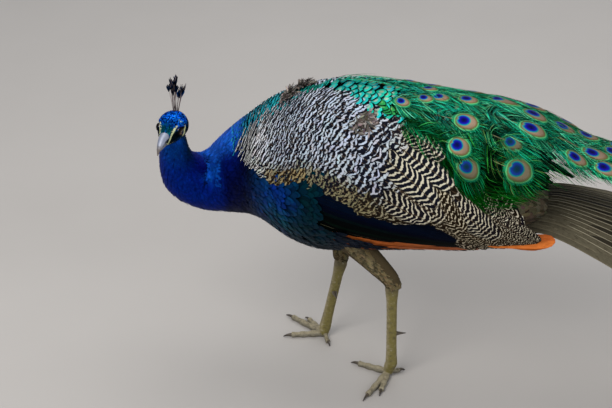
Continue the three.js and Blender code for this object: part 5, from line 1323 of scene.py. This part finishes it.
# dense soft vanes under everything, so that nothing shows through
tu = Coat("train_under_feathers", PM_TRAIN, "train_plumage", TT)
for sg in (1, -1):
    q, a, mq = field(TRAIN, float(TRAIN.q_at(-58)), float(TRAIN.q_at(560)), 0.020, 0.0135, 0.0, 1.62)
    x = TRAIN.x_of(q); ang = 90 - a / D2R
    tx = x + 62
    k = (ang > tlow(tx) + 1.5 + 18 * sstep(200, 258, tx) + 3 * sstep(258, 285, tx) * (1 - sstep(350, 400, tx))) & (tx < 612)
    q, a, x, ang = q[k], a[k], x[k], ang[k]
    phi = (6 + 12 * sstep(80, 20, ang)) * D2R * sg + RNG.normal(0, 0.07, len(q))
    cl = mixc(lin(1, 22, 13), lin(1, 26, 24), RNG.random(len(q))); cl = mixc(cl, lin(1, 14, 5), sstep(74, 40, ang)); cl = mixc(cl, lin(12, 34, 12), sstep(200, 400, x) * RNG.random(len(q)) * 0.5)
    drape(tu, TRAIN, q, a * sg, phi, 0.070, 0.026, "silk", R=8, C=5, low=-0.0095, lift=-0.0040, cup=0.06, thick=0.0006, jit=0.0012, col=tint(cl, 0.2), colb=cl * 0.3)
tu.build()

# green and gold scale feathers of the back
gc = Coat("back_scale_feathers", PM_SCALE, "train_plumage", TT)
for sg in (1, -1):
    q, a, mq = field(TRAIN, float(TRAIN.q_at(-74)), float(TRAIN.q_at(150)), 0.0094, 0.0120, 0.0, 0.62)
    x = TRAIN.x_of(q); ang = 90 - a / D2R
    k = (ang > np.interp(x + 12, UP_X, UP_A if sg > 0 else UPF_A) - 3) & (ang > 58 + 0 * x) & (x < 138)
    q, a, x, ang = q[k], a[k], x[k], ang[k]
    gro = sstep(-70, 120, x)
    ring = mixc(lin(32, 184, 170), lin(36, 186, 138), sstep(-40, 80, x)); ring = mixc(ring, lin(40, 176, 196), 0.5 * (RNG.random(len(q)) < 0.3))
    heart = mixc(lin(120, 190, 172), lin(168, 158, 132), sstep(-40, 40, x) * (0.55 + 0.45 * RNG.random(len(q))))
    drape(gc, TRAIN, q, a * sg, RNG.normal(0, 0.07, len(q)) + sg * 0.12, 0.0220 + 0.011 * gro, 0.0185 + 0.005 * gro, "scale", R=7, C=5, low=-0.004, lift=0.0016 + 0.0012 * gro, cup=0.12, jit=0.0005, thick=0.0004, col=tint(heart, 0.12), colb=tint(ring, 0.12))
# bright gold-green plumes along the lower border of the scale back
for sg in (1, -1):
    n = 26; xs = np.linspace(14, 96, n); q = TRAIN.q_at(xs); a = (90 - (np.interp(xs, UP_X, UP_A) + 7 + RNG.normal(0, 2.0, n))) * D2R
    cl = mixc(lin(70, 160, 84), lin(124, 160, 96), RNG.random(n))
    drape(gc, TRAIN, q, a * sg, sg * (0.35 + RNG.normal(0, 0.12, n)), 0.030, 0.013, "scale", R=8, C=5, low=-0.002, lift=0.0030, cup=0.14, thick=0.0004, bend=0.1 * sg, col=cl, colb=mixc(lin(24, 128, 70), lin(60, 146, 70), RNG.random(n)))
gc.build()

# eye feathers: places on the near side and top from the bird in view, the rest to match
OCELLI = [(62, 74, 1, 25), (93, 83, 1, 26), (96, 99, 1, 27), (114, 88, 1, 30), (154, 91, 1, 34), (156, 67, 1, 40), (150, 47, 1, 36), (166, 33, 1, 38), (236, 32, 1, 43), (249, 75, 1, 44), (250, 97, 1, 42), (222, 56, 1, 34), (339, 84, 1, 44), (312, 66, 1, 40)]
for x_, g_, d_ in ((66, 70, 25), (100, 68, 29), (118, 58, 32), (160, 62, 38), (162, 40, 38), (196, 78, 38), (204, 52, 40), (232, 30, 42), (248, 62, 43), (292, 74, 44), (298, 44, 43), (300, 20, 42)):
    OCELLI.append((x_, g_, -1, d_))
pts_ = [(x_, g_ if s_ > 0 else 180 - g_) for x_, g_, s_, _ in OCELLI]
R2 = np.random.default_rng(5)
tries = 0
while len(pts_) < 84 and tries < 6000:
    tries += 1
    x_ = 300 + 300 * R2.random() ** 0.85; g_ = 6 + 168 * R2.random()
    if min(g_, 180 - g_) < tlow(x_) + 7:
        continue
    if x_ < 352 and g_ < 100:
        continue
    rad_ = np.interp(x_, [300, 610], [95, 62])
    ok = all(math.hypot(x_ - px, (g_ - pg) * D2R * rad_) > 33 - 7 * ((x_ - 300) / 300) for px, pg in pts_)
    if ok:
        pts_.append((x_, g_)); OCELLI.append((x_, g_ if g_ <= 90 else 180 - g_, 1 if g_ <= 90 else -1, 44 + 2 * R2.random()))
OCELLI.sort(key=lambda o: -o[0])

oc = Coat("eyes_of_the_train", PM_OC, "train_plumage", TT, per=30)
bb = Coat("train_barb_feathers", PM_TRAIN, "train_plumage", TT)
rc = Coat("train_shafts", PM_DOWN, "train_plumage", TT)


def square_disc(n):
    k = np.linspace(-1, 1, n); X_, Y_ = np.meshgrid(k, k, indexing="ij")
    return X_ * np.sqrt(1 - Y_ ** 2 / 2), Y_ * np.sqrt(1 - X_ ** 2 / 2)


def to_surface(q0, a0, phi, U_, V_, h):
    """points U along and V across (m) from a place on the train, at heights h"""
    _, _, pq, pa = TRAIN.full(np.array([q0]), np.array([a0]))
    mq, ma = np.linalg.norm(pq[0]), np.linalg.norm(pa[0])
    q = q0 + (U_ * math.cos(phi) - V_ * math.sin(phi)) / mq; a = a0 + (U_ * math.sin(phi) + V_ * math.cos(phi)) / ma
    P, N, _, _ = TRAIN.full(q, a)
    return P + N * h[..., None], N, q, a


BARBS = dict(P=[], N=[], r=[], c=[], uv=[])


def barbs(q0, a0, phi, U0, side, beta0, beta1, Ln, h0, h1, col, rad=0.00042, m=5, wave=0.0):
    """curved barbs starting at (U0, 0) on a shaft, turning from beta0 to beta1 off the shaft's line"""
    n = len(U0); t = np.linspace(0, 1, m)[None]
    Ln = np.broadcast_to(Ln, (n,))[:, None]; side = np.broadcast_to(side, (n,))[:, None]
    be = np.broadcast_to(beta0, (n,))[:, None] + (np.broadcast_to(beta1, (n,)) - np.broadcast_to(beta0, (n,)))[:, None] * t ** 0.8
    st = Ln / (m - 1)
    du = np.cos(be) * st; dv = np.sin(be) * st * side
    U_ = U0[:, None] + np.concatenate([np.zeros((n, 1)), np.cumsum((du[:, 1:] + du[:, :-1]) / 2, 1)], 1)
    V_ = np.concatenate([np.zeros((n, 1)), np.cumsum((dv[:, 1:] + dv[:, :-1]) / 2, 1)], 1)
    V_ = V_ + np.array(RNG.normal(0, 0.0006, (n, 1))) * t + wave * np.sin(t * 5 + U0[:, None] * 300)
    h = h0 + (np.broadcast_to(h1, (n,))[:, None] - h0) * t + 0.0016 * np.sin(t * math.pi) + RNG.normal(0, 0.0005, (n, 1)) * t
    P, N, q, a = to_surface(q0, a0, phi, U_, V_, h)
    BARBS["P"].append(P); BARBS["N"].append(N); BARBS["c"].append(col)
    BARBS["r"].append(rad * (1 - 0.72 * np.linspace(0, 1, m) ** 1.5)[None] * np.ones((n, 1)))
    BARBS["uv"].append(np.stack([0.04 + 0.92 * q[:, 0] / TRAIN.n, 0.5 + 0.46 * a[:, 0] / math.pi], -1))


def barb_colours(n, x, ang):
    low = sstep(74, 38, ang)
    cs_ = np.ones(n) * np.asarray(x, float); grp = np.repeat(RNG.random(n // 3 + 1), 3)[:n] if np.ndim(x) == 0 else 0.5 + 0.5 * wob(cs_ * 0.31, np.asarray(ang, float) * 0.55, 4.0)
    c = mixc(np.broadcast_to(lin(26, 182, 124), (n, 3)), lin(24, 176, 156), RNG.random(n) * 0.9 + 0.3 * sstep(150, 80, x))
    # painted shade: barbs low on the train's side darker green
    c = mixc(c, lin(3, 84, 10), low * (0.75 + 0.25 * RNG.random(n)))
    # painted shade: about half the strands nearly black, standing for the shaded gaps between hanging barbs
    c = mixc(c, lin(1, 18, 8), (0.6 * grp + 0.4 * RNG.random(n) < 0.48 + 0.08 * low) * 0.96)
    # painted highlights: a few strands much lighter
    c = mixc(c, mixc(lin(120, 232, 170), lin(60, 170, 60), low), (RNG.random(n) < 0.16) * 0.75)
    c = mixc(c, lin(110, 130, 60), (RNG.random(n) < 0.04) * 0.8)
    c = mixc(c, lin(60, 140, 50), sstep(330, 560, x) * RNG.random(n) * 0.5)
    return tint(c, 0.26)


MX, MY = square_disc(11)
for rank, (x_, g_, s_, d_) in enumerate(OCELLI):
    q0 = float(TRAIN.q_at(x_)); a0 = A(g_, s_)
    phi = s_ * (8 + 20 * sstep(85, 30, g_)) * D2R * (0.5 if x_ > 330 else 1) + R2.normal(0, 0.05)
    half = d_ / 2000 * 1.06
    hid = 1.0 if (x_, g_) in ((222, 56),) else 0.0
    lift = 0.0036 + 0.0012 * R2.random() + 0.0016 * (1 - min(1, max(0, (x_ - 60) / 500)))
    # disc: a soft dome, its rim sinking into the barbs
    U_, V_ = MX * half * 1.10, MY * half * 0.94 * (1 - 0.14 * MX)
    rr = np.sqrt(MX ** 2 + MY ** 2)
    h = lift + 0.0018 * (1 - rr ** 2) - 0.0016 * rr ** 4 + 0.0006 * MX
    if hid:
        h = h - 0.0028
    P, N, _, _ = to_surface(q0, a0, phi, U_, V_, h)
    finish(oc, P[None], N[None], (MX * half)[None], (MY * half)[None], np.array([half]), np.linspace(0, 1, 11), np.linspace(-1, 1, 11), 0.0006, None, np.array([[half / 0.1, 0, max(hid * 0.5, 0.45 * float(sstep(52, 30, g_)) * (x_ < 300))]]), 0.003, None)
    # shaft from the rump to the disc
    back_ = max(0.012, min(0.130, (x_ - 62) / 1000))
    t = np.linspace(0, 1, 14); U_ = -half * 0.7 - back_ * (1 - t)
    P, N, qs_, as_ = to_surface(q0, a0, phi * 0.6, U_, 0 * t, -0.004 + (lift + 0.003) * sstep(0, 1, t))
    tubes(rc, P[None], N[None], (0.0008 * (1 - 0.55 * t))[None], col=lin(150, 146, 108), colb=lin(120, 116, 90), uvpos=np.array([[0.04 + 0.92 * qs_[0] / TRAIN.n, 0.5 + 0.46 * as_[0] / math.pi]]))
    # barbs down the shaft
    nb = int(back_ / 0.0022)
    U0 = -half * 0.6 - back_ * np.linspace(0.02, 0.96, nb)
    for sd in (1, -1):
        fade = 1 - 0.25 * np.linspace(0, 1, nb)
        barbs(q0, a0, phi * 0.8, U0 + RNG.normal(0, 0.0006, nb), sd, 0.95 + RNG.normal(0, 0.08, nb), 0.26 + RNG.normal(0, 0.10, nb), (0.036 + 0.010 * RNG.random(nb)) * fade, lift - 0.0022, lift - 0.0006 + RNG.normal(0, 0.0009, nb), barb_colours(nb, x_, g_))
    # a close fringe round the disc that sweeps past its tip
    nf_ = 34
    th = np.linspace(-1, 1, nf_) * 2.5
    for i0 in range(2):
        thj = th + RNG.normal(0, 0.04, nf_)
        U0 = np.cos(thj) * half * 0.92; V0 = np.sin(thj) * half * 0.86
        t = np.linspace(0, 1, 5)[None]
        Ln = (0.017 + 0.009 * RNG.random(nf_) + 0.008 * np.cos(thj))[:, None]
        dirs = np.arctan2(np.sin(thj) * 1.0, 0.75 + np.cos(thj) * 0.8)[:, None] * (1 - 0.45 * t)
        U_ = U0[:, None] + np.concatenate([np.zeros((nf_, 1)), np.cumsum(np.cos(dirs)[:, 1:] * Ln / 4, 1)], 1)
        V_ = V0[:, None] + np.concatenate([np.zeros((nf_, 1)), np.cumsum(np.sin(dirs)[:, 1:] * Ln / 4, 1)], 1)
        h = lift - 0.0002 + 0.0006 * np.sin(t * math.pi) + RNG.normal(0, 0.0006, (nf_, 1)) * t - 0.0010 * t
        P, N, q, a = to_surface(q0, a0, phi, U_, V_, h)
        BARBS["P"].append(P); BARBS["N"].append(N); BARBS["c"].append(mixc(barb_colours(nf_, x_, g_), lin(20, 170, 110), 0.3))
        BARBS["r"].append(0.00046 * (1 - 0.7 * np.linspace(0, 1, 5) ** 1.5)[None] * np.ones((nf_, 1)))
        BARBS["uv"].append(np.stack([0.04 + 0.92 * q[:, 0] / TRAIN.n, 0.5 + 0.46 * a[:, 0] / math.pi], -1))

# the long hanging curtain along the lower border on both sides
for sg in (1, -1):
    n = 2200
    xs = 62 + 250 * RNG.random(n) ** 1.1; lo = tlow(xs)
    gg = lo + 4 + (np.where(xs < 110, lo + 16, 80) - lo) * RNG.random(n) ** 1.5
    for i in range(n):
        pass
    q = TRAIN.q_at(xs); a = (90 - gg) * D2R * sg
    # vectorised: each barb falls back and down, its tip near the border
    _, _, pq, pa = TRAIN.full(q, a); mq, ma = np.linalg.norm(pq, axis=-1), np.linalg.norm(pa, axis=-1)
    t = np.linspace(0, 1, 5)[None]
    ph0 = (62 - 22 * sstep(120, 260, xs) + RNG.normal(0, 9, n)) * D2R; ph1 = (26 + RNG.normal(0, 9, n) + 22 * sstep(160, 60, xs)) * D2R
    Ln = 0.030 + 0.022 * RNG.random(n)
    ph = ph0[:, None] + (ph1 - ph0)[:, None] * t
    du = np.cos(ph) * Ln[:, None] / 4; dv = np.sin(ph) * Ln[:, None] / 4
    U_ = np.concatenate([np.zeros((n, 1)), np.cumsum(du[:, 1:], 1)], 1); V_ = np.concatenate([np.zeros((n, 1)), np.cumsum(dv[:, 1:], 1)], 1)
    qq_ = q[:, None] + U_ / mq[:, None]; aa_ = a[:, None] + sg * V_ / ma[:, None]
    tip_g = 90 - np.abs(aa_[:, -1]) / D2R; tip_x = TRAIN.x_of(qq_[:, -1])
    keep = tip_g > tlow(tip_x) - 3 - 5 * RNG.random(n) - (16 * RNG.random(n) ** 2) * (tip_x > 262)
    P, N, _, _ = TRAIN.full(qq_[keep], aa_[keep]); n = keep.sum()
    h = -0.0005 + 0.0030 * t + 0.0020 * RNG.random((n, 1)) + 0.0012 * np.sin(t * math.pi)
    BARBS["P"].append(P + N * h[..., None]); BARBS["N"].append(N)
    # painted shade: the curtain's barbs darker green towards the lower border
    BARBS["c"].append(mixc(barb_colours(n, xs[keep], gg[keep]), lin(2, 70, 6), 0.9 * (1 - sstep(8, 38, (gg - lo)[keep])))); BARBS["r"].append(0.00045 * (1 - 0.72 * np.linspace(0, 1, 5) ** 1.5)[None] * np.ones((n, 1)))
    BARBS["uv"].append(np.stack([0.04 + 0.92 * q[keep] / TRAIN.n, 0.5 + 0.46 * a[keep] / math.pi], -1))
# painted light and shade: each barb at random a third as bright, as given, or 1.6 times as bright
BC = np.concatenate(BARBS["c"]); BC = BC * RNG.choice([0.32, 0.95, 1.6], len(BC), p=[0.34, 0.33, 0.33])[:, None]
tubes(bb, np.concatenate(BARBS["P"]), np.concatenate(BARBS["N"]), np.concatenate(BARBS["r"]), 0.55, col=BC, colb=BC * 0.6, uvpos=np.concatenate(BARBS["uv"]))
oc.build(); bb.build(); rc.build()

# ------------------------------------------------------------------ tail
TAIL = np.array([(190, 30, 304, 6, 16), (240, 60, 302, 14, 15), (290, 86, 304, 18, 13), (376, 106, 297, 20, 10), (500, 121, 268, 24, 7), (616, 126, 236, 28, 4)], float)
tc_ = Coat("tail_feathers", PM_TAIL, "tail_plumage", ["tail"], per=10)
ts = Coat("tail_shafts", PM_DOWN, "tail_plumage", ["tail"])
NTF = 18
for rank, i in enumerate(sorted(range(NTF), key=lambda i: -abs(i - (NTF - 1) / 2))):
    s_ = 2 * i / (NTF - 1) - 1
    tip = 614 - 78 * s_ * s_ - 6 * (i % 2)
    xs = np.linspace(164, tip, 28)
    w_ = np.interp(xs, TAIL[:, 0], TAIL[:, 1]) * (1 - (0.36 if s_ < 0 else 0.05) * (1 - sstep(260, 420, xs))); z_ = np.interp(xs, TAIL[:, 0], TAIL[:, 2]) + 18 * np.exp(-((xs - 290) / 100) ** 2); dr = np.interp(xs, TAIL[:, 0], TAIL[:, 3])
    se = s_ * 0.90
    hgt = -3.4 + 3.0 * (1 - abs(s_)) + 0.7 * (i % 2)
    P = W3(np.stack([xs, se * w_ * (1 - 0.0 * xs), z_ - dr * se * se + hgt], -1))
    T = unit(np.gradient(P, axis=0)); up_v = unit(np.array([0.0, 2 * 0.20 * se, 1.0])); X = unit(np.cross(up_v, T)); N = unit(np.cross(T, X))
    base = lin(91, 85, 69); inner = lin(52, 48, 39)
    lay3(tc_, P, X, N, 0.039, "quill", C=9, cup=0.10, thick=0.0008, col=base * (1 + 0.1 * math.sin(i * 2.3)), colb=inner, uvpos=(0.04 + 0.92 * (i / NTF), 0.5))
    t = np.linspace(0, 1, 28)
    tubes(ts, (P + N * 0.0007)[None], N[None], (0.0010 * (1 - 0.75 * t))[None], col=lin(158, 150, 128), colb=lin(124, 116, 96), uvpos=np.array([[0.04 + 0.92 * i / NTF, 0.5]]))
# long coverts over the root of the tail
for i in range(11):
    s_ = 2 * i / 10 - 1
    xs = np.linspace(150, 276 - 34 * s_ * s_ + 10 * (i % 2), 20)
    w_ = np.interp(xs, TAIL[:, 0], TAIL[:, 1]) * (0.66 if s_ < 0 else 0.9) + 16 * np.exp(-((xs - 190) / 60) ** 2); z_ = np.interp(xs, TAIL[:, 0], TAIL[:, 2]) + 19 * np.exp(-((xs - 280) / 100) ** 2); dr = np.interp(xs, TAIL[:, 0], TAIL[:, 3])
    se = s_ * 0.94
    P = W3(np.stack([xs, se * w_, z_ - dr * se * se - 14 * se * se * np.exp(-((xs - 200) / 70) ** 2) + 1.5 + 0.6 * (i % 2)], -1))
    T = unit(np.gradient(P, axis=0)); up_v = unit(np.array([0.0, 0.5 * se, 1.0])); X = unit(np.cross(up_v, T)); N = unit(np.cross(T, X))
    lay3(tc_, P, X, N, 0.034, "quill", C=9, cup=0.10, thick=0.0008, col=lin(96, 89, 73), colb=lin(54, 50, 40), uvpos=(0.04 + 0.92 * (i / 11), 0.7))
tc_.build(); ts.build()
# under tail coverts: soft dark brown down below the root of the tail
ut = Coat("under_tail_down", PM_DOWN, "body_plumage", [])
UT = Surf([((x, 0, z), up, b, a) for x, z, a, b in [(120, 318, 84, 74), (150, 310, 78, 60), (180, 302, 70, 44), (210, 296, 60, 30), (245, 292, 50, 20), (290, 290, 40, 12)]])
q, a, mq = field(UT, 0.1, 4.2, 0.010, 0.011, 1.9, 2 * math.pi - 1.9)
cl = tint(np.broadcast_to(lin(46, 38, 32), (len(q), 3)), 0.25)
drape(ut, UT, q, a, RNG.normal(0, 0.2, len(q)), 0.040, 0.018, "silk", R=6, C=5, low=-0.004, lift=0.0035, cup=0.08, jit=0.002, thick=0.0004, col=cl, colb=cl * 1.7)
ut.build()

# ------------------------------------------------------------------ thighs
th_ = Coat("thigh_feathers", PM_DOWN, "thigh_plumage", [])
for name, L in LEGS.items():
    S = Surf([((x, y, z), (-1, 0, 0.3), r1, r2) for x, y, z, r1, r2 in L["thigh"]])
    q, a, mq = field(S, 0.0, 4.75, 0.0048, 0.0052)
    n = len(q); lowr = sstep(1.0, 4.6, q)
    cl = mixc(lin(104, 88, 60), lin(136, 122, 90), RNG.random(n) * 0.8); cl = mixc(cl, lin(54, 52, 40), (RNG.random(n) < 0.32) * 0.8)
    cl = mixc(cl, lin(60, 48, 36), sstep(1.6, 0.2, q) * 0.6)
    drape(th_, S, q, a, RNG.normal(0, 0.18, n), 0.020 - 0.009 * lowr, 0.0088 - 0.0030 * lowr, "round", R=5, C=3, low=-0.0042 + 0.001 * lowr, lift=0.0006, cup=0.1, jit=0.001, thick=0.0004, col=tint(cl, 0.15), colb=mixc(cl, lin(150, 138, 106), 0.6))
th_.build()

# ------------------------------------------------------------------ crest
PM_CREST = plume_material("crest_vanes", rough=0.42, metal=0.6, barb=1400, barb_amt=0.3, root_dark=0.6, edge=0.5, glance=(0.02, 0.1, 0.2))
cs = Coat("crest_shafts", PM_DOWN, "crest_plumes", ["crest"])
cv = Coat("crest_vanes", PM_CREST, "crest_plumes", ["crest"], per=60)
CB = np.array([-12.0, 0, 17]); CN = 20
for i in range(CN):
    qf = (i + 0.5) / CN; j = i % 3
    rear = i >= 12
    bk = ((2 + 34 * qf) if not rear else (22 + 30 * (qf - 0.6) / 0.4)) * D2R + RNG.normal(0, 0.03); out_ = (RNG.uniform(-8, 1) if not rear else RNG.uniform(-3, 2)) * D2R
    ln = (54 if not rear else 40) * (0.90 + 0.12 * math.sin(i * 2.4))
    dh = unit(np.array([-math.sin(bk), math.sin(out_), math.cos(bk) * math.cos(out_)]))
    b0 = CB + np.array([3 - 7 * qf, ((j - 1) * 1.2 - 1.0 if not rear else 2.6 + (j - 1)) + RNG.normal(0, 0.4), 0.2 if not rear else -0.2])
    side_h = unit(np.cross(dh, [1.0, 0, 0.0])); 
    spin = RNG.normal(0, 0.5); th_h = np.cross(side_h, dh); side_h, th_h = side_h * math.cos(spin) + th_h * math.sin(spin), th_h * math.cos(spin) - side_h * math.sin(spin)
    t = np.linspace(0, 1, 12)[:, None]
    path = b0 + dh * ln * t + th_h * (1.6 * np.sin(t * math.pi)) * (1 if i % 2 else -1) * 0.6
    P = head(path[:, 0], path[:, 1], path[:, 2]); Nw = np.broadcast_to(HF * th_h[0] + HL * th_h[1] + HU * th_h[2], (12, 3))
    tubes(cs, P[None], Nw[None], (0.00042 * (1 - 0.4 * t[:, 0]))[None], col=lin(132, 118, 116), colb=lin(110, 96, 96), uvpos=np.array([[0.1 + 0.8 * qf, 0.3 + 0.2 * j]]))
    # fan at the tip, made of a vane split in narrow barbs
    for b in range(5):
        an_ = (b - 2) * 8.0 * D2R + RNG.normal(0, 0.04)
        d2 = dh * math.cos(an_) + side_h * math.sin(an_)
        t2 = np.linspace(0, 1, 7)[:, None]
        st_ = b0 + dh * (ln - 12.5)
        pth = st_ + d2 * (12.5 if b == 2 else 11.6 - abs(b - 2) * 0.9) * t2 + th_h * 0.6 * np.sin(t2 * 3 + b)
        P = head(pth[:, 0], pth[:, 1], pth[:, 2]); T = unit(np.gradient(P, axis=0)); sw = HF * side_h[0] + HL * side_h[1] + HU * side_h[2]
        X = unit(sw - T * (T @ sw)[:, None]); N = np.cross(T, X)
        c_ = mixc(lin(4, 14, 22), lin(6, 60, 120), RNG.random() * (0.9 if rear else 0.3)) if b != 2 else lin(4, 12, 18)
        lay3(cv, P, X, N, 0.0019, "tert", C=3, cup=0.1, thick=0.0004, col=c_, colb=c_ * 0.5)
cs.build(); cv.build()

# brown-grey ruffled tufts at the front of the back
tf = Coat("ruffled_tufts", PM_DOWN, "body_plumage", [])
for (x_, g_, s_, n, sz, up_h, sp) in ((-112, 82, 1, 150, 0.0085, 0.007, 3.6), (-106, 87, 1, 130, 0.0090, 0.009, 3.6), (-94, 96, -1, 150, 0.0090, 0.008, 4.2), (-84, 100, -1, 120, 0.0085, 0.006, 4.6), (18, 56, 1, 90, 0.011, 0.0026, 6.0), (4, 52, 1, 60, 0.011, 0.0022, 5.0)):
    xs = x_ + RNG.normal(0, sp, n); q = CORE.q_at(xs); a = ((90 - g_) * (1 if s_ > 0 or g_ > 90 else -1) + RNG.normal(0, sp * 0.55, n)) * D2R
    cl = mixc(lin(74, 66, 62), lin(164, 154, 146), RNG.random(n)); cl = mixc(cl, lin(44, 36, 32), (RNG.random(n) < 0.3) * 0.7)
    mid_ = np.exp(-((xs - x_) / (sp * 1.2)) ** 2)
    drape(tf, CORE, q, a, RNG.normal(0.15, 0.9, n), sz * (0.7 + 0.6 * RNG.random(n)), 0.0026, "silk", R=6, C=3, low=0.0006 + 0.55 * up_h * mid_, lift=up_h * (0.25 + 1.0 * mid_) * (0.5 + 0.8 * RNG.random(n)), cup=0.3, thick=0.0004, curl=-0.1, col=tint(cl, 0.22), colb=cl * 0.6)
tf.build()
